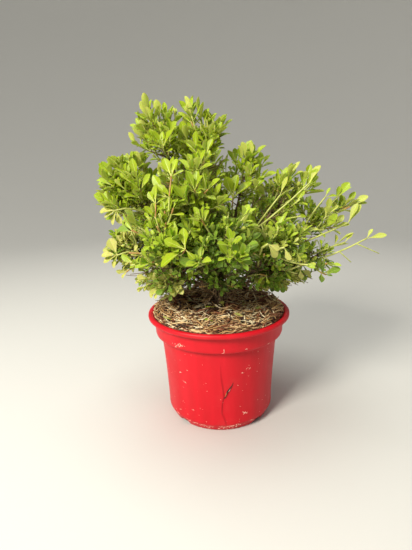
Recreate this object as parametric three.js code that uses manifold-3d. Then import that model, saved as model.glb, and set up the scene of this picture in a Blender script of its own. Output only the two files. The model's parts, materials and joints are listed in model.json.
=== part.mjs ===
// A potted escallonia: a dense, bushy young shrub in a round nursery pot, topped with wood-fibre mulch.
// Millimetres, +Z up, -Y towards the viewer, with the origin at the centre of the pot's flat underside.
import * as THREE from "three";
import { mergeVertices } from "three/addons/utils/BufferGeometryUtils.js";
import Module from "manifold-3d";

const wasm = await Module();
wasm.setup();

// Clearance between pieces that rest on each other, and the distance within which points are one
const CLEAR = 0.3;
const SAME_POINT = 1e-4;

// Pot: a tapered wall under a wider collar and a turned-out lip
const POT_HEIGHT = 144;
const RIM_RADIUS = 95;
const BASE_RADIUS = 72;
const SHOULDER_RADIUS = 78.5;
const COLLAR_RADIUS = 86;
const COLLAR_FLARE = 1;
const COLLAR_HEIGHT = 27;
const COLLAR_SLOPE = 3;
const LIP_HEIGHT = 5;
const WALL = 1.8;
const FLOOR = 2.4;
const BASE_ROUND = 3;
const POT_SIDES = 32;

// Drain notches through the corner between wall and base
const NOTCHES = 4;
const NOTCH_WIDTH = 20;
const NOTCH_HEIGHT = 4.5;
const NOTCH_DEPTH = 12;

// Compost, and the mulch on it, which mounds up towards the stem
const COMPOST_TOP = 131;
const MULCH_EDGE = 138;
const MULCH_MOUND = 10;
const MULCH_HOLE = 14;
const MULCH_RINGS = 4;

// The unevenness of the mulch: its height in millimetres, and how fast its waves turn with x and y
const ROUGHNESS = 1.6;
const SHORT_WAVES = [0.31, 0.27];
const LONG_WAVES = [0.13, -0.19];

// Trunk: a short leaning stem with a root flare
const TRUNK_LENGTH = 42;
const TRUNK_RADIUS = 7.5;
const TRUNK_TOP_RADIUS = 6;
const FLARE_RADIUS = 4.5;
const FLARE_LENGTH = 7;
const FLARE_LOBES = 4;
const LOBE_DEPTH = 0.2;
const TRUNK_LEAN = [3, -2];
const TRUNK_SIDES = 10;
const TRUNK_STEPS = 5;

// Boughs: each sags a little at first and then turns upwards. Its mass begins at the first of a few tested
// shares of its length that lies well inside the mass's space.
const BOUGH_RADIUS = 2.6;
const BOUGH_TIP_RADIUS = 1.7;
const BOUGH_SIDES = 4;
const BOUGH_STEPS = 3;
const BOUGH_BOW = 0.16;
const ENTRY_ROOM = 6;
const ENTRY_FROM = 0.3;
const ENTRY_TO = 0.85;
const ENTRY_TESTS = 22;

// Spaces of the masses: how far one reaches round a shoot that stands out, the gap between two of them, and
// the size of a dense mass's core as a share of its reach
const TIP_REACH = 15;
const SPACE_GAP = 0.3;
const CORE_SHARE = 0.42;

// Shoots: they fan out by up to FAN degrees from the way their stem runs, which is lifted a little. One that
// leaves its mass's space is cut to one of the SHORTENED shares.
const STEM_TIP_RADIUS = 1.2;
const STEM_SIDES = 3;
const SHOOT_RADIUS = 1.2;
const SHOOT_TIP_RADIUS = 0.8;
const SHOOT_SIDES = 3;
const FIRST_SHOOT = 0.04;
const SHOOTS_ALONG = 0.82;
const FAN = 125;
const LIFT = 0.5;
const TURN_SPREAD = 0.7;
const LENGTH_LEAST = 0.85;
const LENGTH_SPREAD = 0.3;
const LEAF_BEYOND = 0.55;
const SHORTENED = [1, 0.85, 0.7, 0.55, 0.4];
const TIP_ROOM = 4;
const SHOOT_SEED = 1000;

// Leaves: each stands for a few of the plant's own. They open from OPEN_LOW degrees at the foot of a shoot to
// OPEN_HIGH at its tip, and one that doesn't fit is tried at other turns, in degrees, and sizes.
const LEAF_LENGTH = 40;
const LEAF_WIDTH = 22;
const LEAF_THICKNESS = 0.8;
const WIDEST = 0.62;
const RIDGE = 0.5;
const LEAF_SUNK = 0.3;
const LEAVES_A_SHOOT = 7;
const FIRST_LEAF = 0.3;
const LAST_LEAF = 0.96;
const OPEN_LOW = 62;
const OPEN_HIGH = 0;
const GOLDEN_ANGLE = 137.5;
const TRIES = [[0, 1], [45, 1], [-45, 1], [0, 0.8], [60, 0.8]];
const LEAF_SEED = 5000;

// Edges of the foliage shorter than this are closed up
const LEAST_DETAIL = 0.02;

// The masses of foliage, and the limb of each: what that limb grows from, at what share of its length, where
// the heart of the mass is, how far its leaves reach round that, how many shoots it has, how large its leaves
// are, whether it is dense, and the tips of any shoots that stand out.
const MASSES = [
  { name: "crown_left", on: "trunk", at: 0.97, heart: [-64, 0, 360], reach: 48,
    shoots: 4, leaf: 0.8, tips: [[-88, 0, 417], [-70, 0, 414], [-98, 4, 388]] },
  { name: "crown_right", on: "trunk", at: 0.9, heart: [34, 8, 312], reach: 48,
    shoots: 4, leaf: 0.85, tips: [[56, 4, 362], [36, 4, 362]] },
  { name: "shoulder_left", on: "trunk", at: 0.82, heart: [-104, 0, 300], reach: 54,
    shoots: 5, leaf: 0.9, tips: [[-148, -4, 342], [-122, 0, 348], [-160, 0, 300]] },
  { name: "reach_upper", on: "trunk", at: 0.76, heart: [132, 10, 262], reach: 46,
    shoots: 4, leaf: 0.85, tips: [[172, 6, 306], [194, 2, 286]] },
  { name: "front_left", on: "trunk", at: 0.7, heart: [-60, -74, 252], reach: 56,
    shoots: 7, leaf: 0.9, tips: [] },
  { name: "front_middle", on: "trunk", at: 0.84, heart: [6, -84, 246], reach: 56,
    shoots: 7, leaf: 0.9, tips: [] },
  { name: "front_right", on: "trunk", at: 0.66, heart: [68, -60, 236], reach: 54,
    shoots: 7, leaf: 0.85, tips: [] },
  { name: "back_left", on: "trunk", at: 0.74, heart: [-84, 76, 264], reach: 58,
    shoots: 7, leaf: 0.9, tips: [] },
  { name: "back_middle", on: "trunk", at: 0.86, heart: [-6, 98, 254], reach: 60,
    shoots: 7, leaf: 0.9, tips: [] },
  { name: "back_right", on: "trunk", at: 0.7, heart: [76, 74, 252], reach: 58,
    shoots: 7, leaf: 0.9, tips: [] },
  { name: "crown_middle", on: "crown_left", at: 0.35, heart: [-16, -6, 350], reach: 46,
    shoots: 4, leaf: 0.8, tips: [[-37, -6, 411], [-17, -6, 412], [14, 0, 391]] },
  { name: "crown_back", on: "crown_left", at: 0.22, heart: [-28, 58, 322], reach: 52,
    shoots: 6, leaf: 0.9, tips: [] },
  { name: "crown_front", on: "front_middle", at: 0.3, heart: [-28, -62, 304], reach: 50,
    shoots: 6, leaf: 0.9, tips: [] },
  { name: "inner", on: "crown_right", at: 0.2, heart: [-16, -6, 262], reach: 44,
    shoots: 3, leaf: 0.8, dense: true, tips: [] },
  { name: "shoulder_right", on: "crown_right", at: 0.3, heart: [84, -4, 288], reach: 52,
    shoots: 4, leaf: 0.85, tips: [[94, -8, 336], [130, -4, 328]] },
  { name: "side_left", on: "shoulder_left", at: 0.3, heart: [-110, -12, 232], reach: 50,
    shoots: 5, leaf: 0.75, tips: [[-158, -20, 222], [-146, -14, 256]] },
  { name: "reach_lower", on: "reach_upper", at: 0.3, heart: [124, -26, 220], reach: 42,
    shoots: 4, leaf: 0.75, tips: [[218, -24, 239], [172, -30, 210]] },
  { name: "skirt_left", on: "front_left", at: 0.3, heart: [-64, -28, 200], reach: 44,
    shoots: 5, leaf: 0.75, tips: [[-98, -30, 180], [-60, -40, 170]] },
  { name: "skirt_front", on: "front_middle", at: 0.25, heart: [2, -48, 202], reach: 40,
    shoots: 6, leaf: 0.75, tips: [[-18, -50, 172], [20, -52, 172]] },
  { name: "skirt_right", on: "front_right", at: 0.35, heart: [68, -12, 196], reach: 44,
    shoots: 5, leaf: 0.75, tips: [[120, -10, 172], [66, -34, 172]] },
  { name: "skirt_back", on: "back_middle", at: 0.25, heart: [-10, 58, 202], reach: 48,
    shoots: 6, leaf: 0.75, tips: [[-30, 62, 168], [22, 60, 170]] },
];

// Colours
const RED = { color: 0xc8102e, roughness: 0.4 };
const DARK_COMPOST = { color: 0x2c2018, roughness: 1.0 };
const STRAW = { color: 0xa98a5a, roughness: 0.95 };
const BARK = { color: 0x5b4a38, roughness: 0.9 };
const GREENS = [0x6f9a1e, 0x86b324, 0x5c8a22, 0x7aa832];

const UP = new THREE.Vector3(0, 0, 1);

// A direction that no shoot runs along, from which turns round a shoot are counted
const ASIDE = new THREE.Vector3(1, 0.3, 0.1);
const vector = (list) => new THREE.Vector3(...list);
const radians = THREE.MathUtils.degToRad;

// A seeded random number from 0 to 1, the same on every run
function seeded(seed) {
  let state = seed >>> 0;
  return () => {
    state = (state + 0x6d2b79f5) >>> 0;
    let t = Math.imul(state ^ (state >>> 15), state | 1);
    t ^= t + Math.imul(t ^ (t >>> 7), t | 61);
    return ((t ^ (t >>> 14)) >>> 0) / 4294967296;
  };
}

// A closed geometry as a solid that can be joined and cut
function solidOf(geometry) {
  const bare = geometry.index ? geometry.toNonIndexed() : geometry.clone();
  bare.deleteAttribute("normal");
  bare.deleteAttribute("uv");
  const merged = mergeVertices(bare, SAME_POINT);
  const triVerts = new Uint32Array(merged.index.array);
  return new wasm.Manifold(
    new wasm.Mesh({ numProp: 3, vertProperties: merged.attributes.position.array, triVerts }),
  );
}

// A solid as a geometry
function geometryOf(solid) {
  const mesh = solid.getMesh();
  const points = new Float32Array(mesh.numVert * 3);
  for (let i = 0; i < mesh.numVert; i++) {
    points.set(mesh.vertProperties.subarray(i * mesh.numProp, i * mesh.numProp + 3), i * 3);
  }
  const geometry = new THREE.BufferGeometry();
  geometry.setAttribute("position", new THREE.BufferAttribute(points, 3));
  geometry.setIndex(new THREE.BufferAttribute(mesh.triVerts, 1));
  return geometry;
}

// Solids joined two by two
function joined(solids) {
  let list = solids;
  while (list.length > 1) {
    const next = [];
    for (let i = 0; i + 1 < list.length; i += 2) next.push(list[i].add(list[i + 1]));
    if (list.length % 2) next.push(list[list.length - 1]);
    list = next;
  }
  return list[0];
}

// The largest body of a solid, without loose scraps
function largest(solid) {
  const bodies = solid.decompose();
  bodies.sort((a, b) => b.volume() - a.volume());
  return bodies[0];
}

// A named mesh, flat shaded
function meshOf(name, geometry, look) {
  const made = geometry.index ? geometry.toNonIndexed() : geometry;
  made.computeVertexNormals();
  const mesh = new THREE.Mesh(made, new THREE.MeshStandardMaterial({ ...look, metalness: 0 }));
  mesh.name = name;
  return mesh;
}

// A profile of [radius, height] points turned round the Z axis
function turned(profile, sides) {
  const points = profile.map(([r, z]) => new THREE.Vector2(r, z));
  return new THREE.LatheGeometry(points, sides).rotateX(Math.PI / 2);
}

// A limb: a cylinder whose rings are moved onto a curve. radiusAt gives its radius at a share of its length
// and an angle round it.
function limb(curve, radiusAt, sides, steps) {
  const geometry = new THREE.CylinderGeometry(1, 1, 1, sides, steps);
  const frames = curve.computeFrenetFrames(steps, false);
  const at = geometry.getAttribute("position");
  for (let i = 0; i < at.count; i++) {
    const step = Math.round((at.getY(i) + 0.5) * steps);
    const angle = Math.atan2(at.getZ(i), at.getX(i));
    const onAxis = Math.hypot(at.getX(i), at.getZ(i)) < 1e-6;
    const r = onAxis ? 0 : radiusAt(step / steps, angle);
    const p = curve.getPointAt(step / steps);
    p.addScaledVector(frames.normals[step], -r * Math.cos(angle));
    p.addScaledVector(frames.binormals[step], r * Math.sin(angle));
    at.setXYZ(i, p.x, p.y, p.z);
  }
  return geometry;
}

// A radius that goes evenly from one value to another
const taper = (from, to) => (share) => from + (to - from) * share;

// A stretch of a curve as a curve of its own
function stretch(curve, from, to) {
  const points = [0, 1 / 3, 2 / 3, 1].map((share) => curve.getPointAt(from + (to - from) * share));
  return new THREE.CatmullRomCurve3(points);
}

// Pot

const COLLAR_FOOT = POT_HEIGHT - COLLAR_HEIGHT;
const COLLAR_INSIDE = COLLAR_RADIUS - WALL;

function makePot() {
  const outside = [
    [0, 0],
    [BASE_RADIUS - BASE_ROUND, 0],
    [BASE_RADIUS, BASE_ROUND],
    [SHOULDER_RADIUS, COLLAR_FOOT - COLLAR_SLOPE],
    [COLLAR_RADIUS, COLLAR_FOOT],
    [COLLAR_RADIUS + COLLAR_FLARE, POT_HEIGHT - LIP_HEIGHT],
    [RIM_RADIUS, POT_HEIGHT - LIP_HEIGHT],
    [RIM_RADIUS, POT_HEIGHT],
  ];
  const inside = [
    [COLLAR_RADIUS + COLLAR_FLARE, POT_HEIGHT],
    [COLLAR_INSIDE, POT_HEIGHT - LIP_HEIGHT],
    [COLLAR_INSIDE, COLLAR_FOOT],
    [SHOULDER_RADIUS - WALL, COLLAR_FOOT - COLLAR_SLOPE],
    [BASE_RADIUS - BASE_ROUND - WALL, FLOOR],
    [0, FLOOR],
  ];
  let pot = solidOf(turned([...outside, ...inside], POT_SIDES));
  for (let i = 0; i < NOTCHES; i++) {
    const notch = new THREE.BoxGeometry(NOTCH_DEPTH, NOTCH_WIDTH, 2 * NOTCH_HEIGHT);
    notch.translate(BASE_RADIUS, 0, 0);
    notch.rotateZ(((i + 0.5) * 2 * Math.PI) / NOTCHES);
    pot = pot.subtract(solidOf(notch));
  }
  return geometryOf(pot);
}

// Compost and mulch

const FILL_EDGE = COLLAR_INSIDE - 2 * CLEAR;

function makeCompost() {
  const profile = [
    [0, FLOOR + CLEAR],
    [BASE_RADIUS - BASE_ROUND - WALL - 2 * CLEAR, FLOOR + CLEAR],
    [SHOULDER_RADIUS - WALL - 2 * CLEAR, COLLAR_FOOT - COLLAR_SLOPE],
    [FILL_EDGE, COLLAR_FOOT + CLEAR],
    [FILL_EDGE, COMPOST_TOP],
    [0, COMPOST_TOP],
  ];
  return turned(profile, POT_SIDES);
}

// How high the mulch lies at a distance from the middle, before its roughness
function mulchHeight(radius) {
  const share = Math.min(1, radius / COLLAR_RADIUS);
  return MULCH_EDGE + MULCH_MOUND * (1 - share * share);
}

function makeMulch() {
  const foot = COMPOST_TOP + CLEAR;
  const top = [];
  for (let i = 0; i <= MULCH_RINGS; i++) {
    const r = FILL_EDGE - ((FILL_EDGE - MULCH_HOLE) * i) / MULCH_RINGS;
    top.push([r, mulchHeight(r)]);
  }
  const mulch = turned([[MULCH_HOLE, foot], [FILL_EDGE, foot], ...top, [MULCH_HOLE, foot]], POT_SIDES);
  const at = mulch.getAttribute("position");
  for (let i = 0; i < at.count; i++) {
    const [x, y, z] = [at.getX(i), at.getY(i), at.getZ(i)];
    const short = Math.sin(x * SHORT_WAVES[0]) * Math.cos(y * SHORT_WAVES[1]);
    const long = Math.sin(x * LONG_WAVES[0] + y * LONG_WAVES[1]);
    if (z > foot + CLEAR) at.setZ(i, z + ROUGHNESS * (short + long));
  }
  return mulch;
}

// Trunk

const TRUNK_FOOT = COMPOST_TOP + CLEAR;
const TRUNK_CURVE = new THREE.QuadraticBezierCurve3(
  vector([0, 0, TRUNK_FOOT]),
  vector([0, 0, TRUNK_FOOT + TRUNK_LENGTH / 2]),
  vector([...TRUNK_LEAN, TRUNK_FOOT + TRUNK_LENGTH]),
);

// The trunk's radius at a share of its height, with the lobes of the root flare round its foot
function trunkRadius(share, angle) {
  const flare = FLARE_RADIUS * Math.exp((-share * TRUNK_LENGTH) / FLARE_LENGTH);
  const lobes = 1 - LOBE_DEPTH + LOBE_DEPTH * Math.cos(FLARE_LOBES * angle);
  return taper(TRUNK_RADIUS, TRUNK_TOP_RADIUS)(share) + flare * lobes;
}

function makeTrunk(grown) {
  return limb(TRUNK_CURVE, (share, angle) => trunkRadius(share, angle) + grown, TRUNK_SIDES, TRUNK_STEPS);
}

// Limbs. Each runs from inside what it grows from to the heart of its mass, in one curve: its bough is the
// stretch up to where it enters the mass, and the mass's own stem is the rest.

function limbCurve(start, heart) {
  const across = heart.clone().sub(start);
  const flatness = 1 - across.z / across.length();
  const bend = start.clone().addScaledVector(across, 0.5);
  bend.z -= BOUGH_BOW * across.length() * flatness;
  return new THREE.QuadraticBezierCurve3(start, bend, heart);
}

// How deep inside its own cell a point of a mass is: the cell is all that is nearer to its heart than to
// any other
function cellRoom(mass, point) {
  const own = vector(mass.heart);
  const rooms = MASSES.filter((other) => other !== mass).map((other) => {
    const theirs = vector(other.heart);
    return (point.distanceToSquared(theirs) - point.distanceToSquared(own)) / (2 * own.distanceTo(theirs));
  });
  return Math.min(...rooms);
}

// The share of its limb's length at which a bough ends and its mass begins
function entry(mass, curve) {
  for (let i = 0; i < ENTRY_TESTS; i++) {
    const share = ENTRY_FROM + ((ENTRY_TO - ENTRY_FROM) * i) / ENTRY_TESTS;
    if (cellRoom(mass, curve.getPointAt(share)) > ENTRY_ROOM) return share;
  }
  return ENTRY_TO;
}

const curves = new Map([["trunk", TRUNK_CURVE]]);
const limbs = MASSES.map((mass) => {
  const curve = limbCurve(curves.get(mass.on).getPoint(mass.at), vector(mass.heart));
  curves.set(mass.name, curve);
  return { mass, curve, end: entry(mass, curve) };
});

// Every bough, cut clear of the trunk and of the boughs before it, and all of those as one solid, grown by
// the clearance, which the foliage stays clear of
let grownLimbs = solidOf(makeTrunk(CLEAR));
for (const own of limbs) {
  const along = stretch(own.curve, 0, own.end);
  const radius = taper(BOUGH_RADIUS, BOUGH_TIP_RADIUS);
  own.bough = largest(solidOf(limb(along, radius, BOUGH_SIDES, BOUGH_STEPS)).subtract(grownLimbs));
  const grown = limb(along, (share) => radius(share) + CLEAR, BOUGH_SIDES, BOUGH_STEPS);
  grownLimbs = grownLimbs.add(solidOf(grown));
}

// Foliage

// How deep inside the space of its mass a point is: within reach of the heart or of a shoot that stands
// out, in its own cell, and above the pot and the mulch
function room(mass, point) {
  const heart = vector(mass.heart);
  let inReach = mass.reach - point.distanceTo(heart);
  const nearest = new THREE.Vector3();
  for (const tip of mass.tips) {
    new THREE.Line3(heart, vector(tip)).closestPointToPoint(point, true, nearest);
    inReach = Math.max(inReach, TIP_REACH - point.distanceTo(nearest));
  }
  const radius = Math.hypot(point.x, point.y);
  const ground = Math.max(POT_HEIGHT, mulchHeight(radius)) + 2 * ROUGHNESS;
  return Math.min(inReach, cellRoom(mass, point) - SPACE_GAP, point.z - ground);
}

// The shoots of a mass as curves: first those that stand out, and then a fan round the way its limb runs.
// The further one is to the side, the lower on the stem it starts.
function shootCurves({ mass, curve, end }) {
  const heart = vector(mass.heart);
  const leafLength = LEAF_LENGTH * mass.leaf;
  const random = seeded(SHOOT_SEED + MASSES.indexOf(mass));
  const ahead = curve.getTangent(1).addScaledVector(UP, LIFT).normalize();
  const side = ASIDE.clone().projectOnPlane(ahead).normalize();
  const other = new THREE.Vector3().crossVectors(ahead, side);
  const tips = mass.tips.map(vector);
  for (let k = 0; k < mass.shoots; k++) {
    const turn = radians(k * GOLDEN_ANGLE) + TURN_SPREAD * (random() - 0.5);
    const lean = radians(FAN) * Math.sqrt((k + 0.5) / mass.shoots);
    const length = (mass.reach - LEAF_BEYOND * leafLength) * (LENGTH_LEAST + LENGTH_SPREAD * random());
    const way = ahead.clone().multiplyScalar(Math.cos(lean));
    way.addScaledVector(side, Math.sin(lean) * Math.cos(turn));
    way.addScaledVector(other, Math.sin(lean) * Math.sin(turn));
    tips.push(heart.clone().addScaledVector(way, length));
  }
  const shoots = [];
  for (const [k, tip] of tips.entries()) {
    const start = curve.getPointAt(1 - (1 - end) * (FIRST_SHOOT + (SHOOTS_ALONG * k) / tips.length));
    const whole = tip.clone().sub(start);
    if (k < mass.tips.length) whole.setLength((whole.length() - leafLength) / LAST_LEAF);
    const share = SHORTENED.find((s) => room(mass, start.clone().addScaledVector(whole, s)) > TIP_ROOM);
    if (!share) continue;
    const to = start.clone().addScaledVector(whole, share);
    shoots.push(new THREE.LineCurve3(start, to));
  }
  return shoots;
}

// A leaf: a low pyramid on a kite, whose corners are the root, the tip and the widest points on each side
function makeLeaf(root, way, face, size) {
  const [length, width, thick] = [LEAF_LENGTH * size, LEAF_WIDTH * size, LEAF_THICKNESS];
  const across = new THREE.Vector3().crossVectors(face, way);
  const corner = (along, sideways, above) =>
    root.clone().addScaledVector(way, along).addScaledVector(across, sideways).addScaledVector(face, above);
  const corners = [
    corner(-LEAF_SUNK, 0, 0),
    corner(length * WIDEST, -width / 2, 0),
    corner(length, 0, 0),
    corner(length * WIDEST, width / 2, 0),
    corner(length * RIDGE, 0, thick),
  ];
  const geometry = new THREE.BufferGeometry().setFromPoints(corners);
  geometry.setIndex([0, 1, 4, 1, 2, 4, 2, 3, 4, 3, 0, 4, 0, 3, 1, 1, 3, 2]);
  return geometry;
}

// Whether a leaf keeps to its mass's space, clear of every limb and of the leaves before it
function fits(mass, geometry, solid, others) {
  const at = geometry.getAttribute("position");
  for (let i = 0; i < at.count; i++) {
    if (room(mass, new THREE.Vector3().fromBufferAttribute(at, i)) < 0) return false;
  }
  if (!solid.intersect(grownLimbs).isEmpty()) return false;
  return others.every((other) => solid.intersect(other).isEmpty());
}

// The leaves of one shoot, from its tip down, turned by the golden angle from each to the next. The last runs
// straight on. A leaf that doesn't fit is turned further or made smaller, and otherwise left out.
function addLeaves(mass, curve, turnStart, twigs, leaves) {
  for (let j = LEAVES_A_SHOOT - 1; j >= 0; j--) {
    const share = j / (LEAVES_A_SHOOT - 1);
    const place = FIRST_LEAF + (LAST_LEAF - FIRST_LEAF) * share;
    const root = curve.getPoint(place);
    const ahead = curve.getTangent(place);
    const open = radians(OPEN_LOW + (OPEN_HIGH - OPEN_LOW) * share);
    for (const [turn, size] of TRIES) {
      const side = ASIDE.clone().projectOnPlane(ahead).normalize();
      side.applyAxisAngle(ahead, turnStart + radians(j * GOLDEN_ANGLE + turn));
      const way = ahead.clone().multiplyScalar(Math.cos(open)).addScaledVector(side, Math.sin(open));
      const face = side.clone().multiplyScalar(-1).projectOnPlane(way).normalize();
      const geometry = makeLeaf(root, way, face, mass.leaf * size);
      const solid = solidOf(geometry);
      if (!fits(mass, geometry, solid, [...twigs, ...leaves])) continue;
      leaves.push(solid);
      break;
    }
  }
}

function makeMass({ mass, curve, end }) {
  const heart = vector(mass.heart);
  const stemStart = end + CLEAR / curve.getLength();
  const stem = limb(stretch(curve, stemStart, 1), taper(BOUGH_TIP_RADIUS, STEM_TIP_RADIUS), STEM_SIDES, 2);
  const solids = [solidOf(stem)];
  if (mass.dense) {
    const radius = Math.min(CORE_SHARE * mass.reach, cellRoom(mass, heart) - 2 * SPACE_GAP);
    const core = new THREE.IcosahedronGeometry(radius, 1).translate(...mass.heart);
    solids.push(solidOf(core));
  }
  const random = seeded(LEAF_SEED + MASSES.indexOf(mass));
  const shoots = shootCurves({ mass, curve, end });
  const thickness = taper(SHOOT_RADIUS, SHOOT_TIP_RADIUS);
  const twigs = shoots.map((shoot) => solidOf(limb(shoot, thickness, SHOOT_SIDES, 1)));
  const leaves = [];
  shoots.forEach((shoot, k) => {
    const others = [solids[0], ...twigs.filter((twig, i) => i !== k)];
    addLeaves(mass, shoot, 2 * Math.PI * random(), others, leaves);
  });
  solids.push(...twigs);
  const whole = largest(joined([...solids, ...leaves]).subtract(grownLimbs));
  return whole.asOriginal().simplify(LEAST_DETAIL);
}

// The whole plant in its pot
const plant = new THREE.Group();
plant.name = "potted_escallonia";
plant.add(meshOf("pot", makePot(), RED));
plant.add(meshOf("compost", makeCompost(), DARK_COMPOST));
plant.add(meshOf("mulch", makeMulch(), STRAW));
plant.add(meshOf("trunk", makeTrunk(0), BARK));
limbs.forEach((own, i) => {
  const green = { color: GREENS[i % GREENS.length], roughness: 0.55 };
  plant.add(meshOf(`bough_${own.mass.name}`, geometryOf(own.bough), BARK));
  plant.add(meshOf(`foliage_${own.mass.name}`, geometryOf(makeMass(own)), green));
});

export default plant;
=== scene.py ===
"""Looks of the potted escallonia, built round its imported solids.

Lengths are in millimetres until a mesh is made. Z is up, -Y is towards the viewer, and the origin is the
centre of the pot's underside, as in the solids.
"""
import json
import math
from dataclasses import dataclass

import bpy
import numpy as np
from mathutils import Matrix, Vector, noise

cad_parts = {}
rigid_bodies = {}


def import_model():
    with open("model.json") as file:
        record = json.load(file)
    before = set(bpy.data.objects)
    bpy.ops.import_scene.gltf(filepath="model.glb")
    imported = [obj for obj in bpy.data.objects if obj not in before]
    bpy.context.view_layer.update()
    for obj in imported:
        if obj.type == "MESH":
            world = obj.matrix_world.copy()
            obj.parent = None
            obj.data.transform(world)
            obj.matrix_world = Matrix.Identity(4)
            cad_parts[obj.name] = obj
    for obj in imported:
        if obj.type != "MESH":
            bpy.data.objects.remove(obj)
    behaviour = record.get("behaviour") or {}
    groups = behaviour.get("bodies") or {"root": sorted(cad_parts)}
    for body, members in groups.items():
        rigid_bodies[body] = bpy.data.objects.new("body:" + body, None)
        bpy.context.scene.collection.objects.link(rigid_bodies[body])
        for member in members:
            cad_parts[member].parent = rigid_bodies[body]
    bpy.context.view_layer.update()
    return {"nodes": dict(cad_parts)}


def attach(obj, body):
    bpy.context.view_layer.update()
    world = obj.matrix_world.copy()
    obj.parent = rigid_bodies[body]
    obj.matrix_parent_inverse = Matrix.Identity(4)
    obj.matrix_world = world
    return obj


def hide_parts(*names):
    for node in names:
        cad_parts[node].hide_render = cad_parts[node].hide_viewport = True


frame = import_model()

MM = 0.001
UP = np.array([0.0, 0.0, 1.0])
ASIDE = np.array([1.0, 0.3, 0.1])
GOLDEN_ANGLE = math.radians(137.5)

# Sizes of the solids
POT_HEIGHT = 144
BASE_RADIUS = 72
SHOULDER_RADIUS = 78.5
COLLAR_RADIUS = 86
FLOOR = 2.4
NOTCHES = 4
NOTCH_WIDTH = 20
NOTCH_HEIGHT = 4.5
NOTCH_DEPTH = 12
COMPOST_TOP = 131.3
MULCH_EDGE = 138
MULCH_MOUND = 10
ROUGHNESS = 1.6
TRUNK_LENGTH = 42
TRUNK_RADII = (7.5, 6.0)
TRUNK_LEAN = (3, -2)
FLARE_RADIUS = 4.5
FLARE_LENGTH = 7
BOUGH_RADII = (2.6, 1.7)
BOUGH_BOW = 0.16
ENTRY_ROOM = 6
ENTRY_SHARES = np.linspace(0.3, 0.85, 23)
TIP_REACH = 15
LEAF_TIP_REACH = 21
LEAF_BEYOND_TIP = 3
SPACE_GAP = 0.3

# The rule by which shoots fan out from the stem of a mass
FIRST_SHOOT = 0.04
SHOOTS_ALONG = 0.82
FAN = math.radians(125)
LIFT = 0.5
TURN_SPREAD = 0.7
LENGTH_LEAST = 0.85
LENGTH_SPREAD = 0.3
LEAF_BEYOND = 0.55
SHORTENED = (1, 0.85, 0.7, 0.55, 0.4)
SHOOT_SEED = 1000
SHOOT_BOW = 0.1


@dataclass
class Mass:
    """A mass of foliage: the limb that it grows from and at what share of its length, its heart, its reach,
    its number of shoots, the tips of those that stand out, and the tint that its lower sprays turn to. A deep
    tint gives all its sprays painted shade."""

    parent: str
    at: float
    heart: tuple
    reach: float
    shoots: int
    tips: list
    tint: str


# Masses with the deep tint, front_middle, inner and skirt_front, have painted shade in their leaves.
MASSES = {
    "crown_left": Mass("trunk", 0.97, (-64, 0, 360), 48, 4,
                       [(-88, 0, 417), (-70, 0, 414), (-98, 4, 388)], "fresh"),
    "crown_right": Mass("trunk", 0.9, (34, 8, 312), 48, 4, [(56, 4, 362), (36, 4, 362)], "mid"),
    "shoulder_left": Mass("trunk", 0.82, (-104, 0, 300), 54, 5,
                          [(-148, -4, 342), (-122, 0, 348), (-160, 0, 300)], "fresh"),
    "reach_upper": Mass("trunk", 0.76, (132, 10, 262), 46, 4, [(172, 6, 306), (194, 2, 286)], "light"),
    "front_left": Mass("trunk", 0.7, (-60, -74, 252), 56, 7, [], "fresh"),
    "front_middle": Mass("trunk", 0.84, (6, -84, 246), 56, 7, [], "deep"),
    "front_right": Mass("trunk", 0.66, (68, -60, 236), 54, 7, [], "light"),
    "back_left": Mass("trunk", 0.74, (-84, 76, 264), 58, 7, [], "mid"),
    "back_middle": Mass("trunk", 0.86, (-6, 98, 254), 60, 7, [], "mid"),
    "back_right": Mass("trunk", 0.7, (76, 74, 252), 58, 7, [], "mid"),
    "crown_middle": Mass("crown_left", 0.35, (-16, -6, 350), 46, 4,
                         [(-37, -6, 411), (-17, -6, 412), (14, 0, 391)], "mid"),
    "crown_back": Mass("crown_left", 0.22, (-28, 58, 322), 52, 6, [], "mid"),
    "crown_front": Mass("front_middle", 0.3, (-28, -62, 304), 50, 6, [], "fresh"),
    "inner": Mass("crown_right", 0.2, (-16, -6, 262), 44, 3, [], "deep"),
    "shoulder_right": Mass("crown_right", 0.3, (84, -4, 288), 52, 4,
                           [(94, -8, 336), (130, -4, 328)], "light"),
    "side_left": Mass("shoulder_left", 0.3, (-110, -12, 232), 50, 5,
                      [(-158, -20, 222), (-146, -14, 256)], "pale"),
    "reach_lower": Mass("reach_upper", 0.3, (124, -26, 220), 42, 4,
                        [(218, -24, 239), (172, -30, 210)], "light"),
    "skirt_left": Mass("front_left", 0.3, (-64, -28, 200), 44, 5, [(-98, -30, 180), (-60, -40, 170)], "pale"),
    "skirt_front": Mass("front_middle", 0.25, (2, -48, 202), 40, 6,
                        [(-18, -50, 172), (20, -52, 172)], "deep"),
    "skirt_right": Mass("front_right", 0.35, (68, -12, 196), 44, 5,
                        [(120, -10, 172), (66, -34, 172)], "pale"),
    "skirt_back": Mass("back_middle", 0.25, (-10, 58, 202), 48, 6, [(-30, 62, 168), (22, 60, 170)], "mid"),
}
HEARTS = {name: np.array(mass.heart, float) for name, mass in MASSES.items()}
ORDER = {name: place for place, name in enumerate(MASSES)}


def unit(vectors):
    """The same directions with a length of 1."""
    return vectors / np.linalg.norm(vectors, axis=-1, keepdims=True)


def across(ahead, turn):
    """A direction square to ahead, turned round it by an angle."""
    side = unit(ASIDE - ahead * (ahead @ ASIDE))
    return side * math.cos(turn) + np.cross(ahead, side) * math.sin(turn)


def between(pair, share):
    """The number at a share of the way from the first of a pair to the second."""
    return pair[0] + (pair[1] - pair[0]) * share


def vary(random, spread):
    """A number by chance, from a spread given as the least and what chance adds."""
    return spread[0] + spread[1] * random()


def round_angles(count):
    """Angles all the way round, from 0."""
    return np.arange(count) * math.tau / count


def round_points(radius, angle, height):
    """Points by their radius, angle and height, which may be arrays."""
    return np.stack(np.broadcast_arrays(radius * np.cos(angle), radius * np.sin(angle), height), -1)


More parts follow.
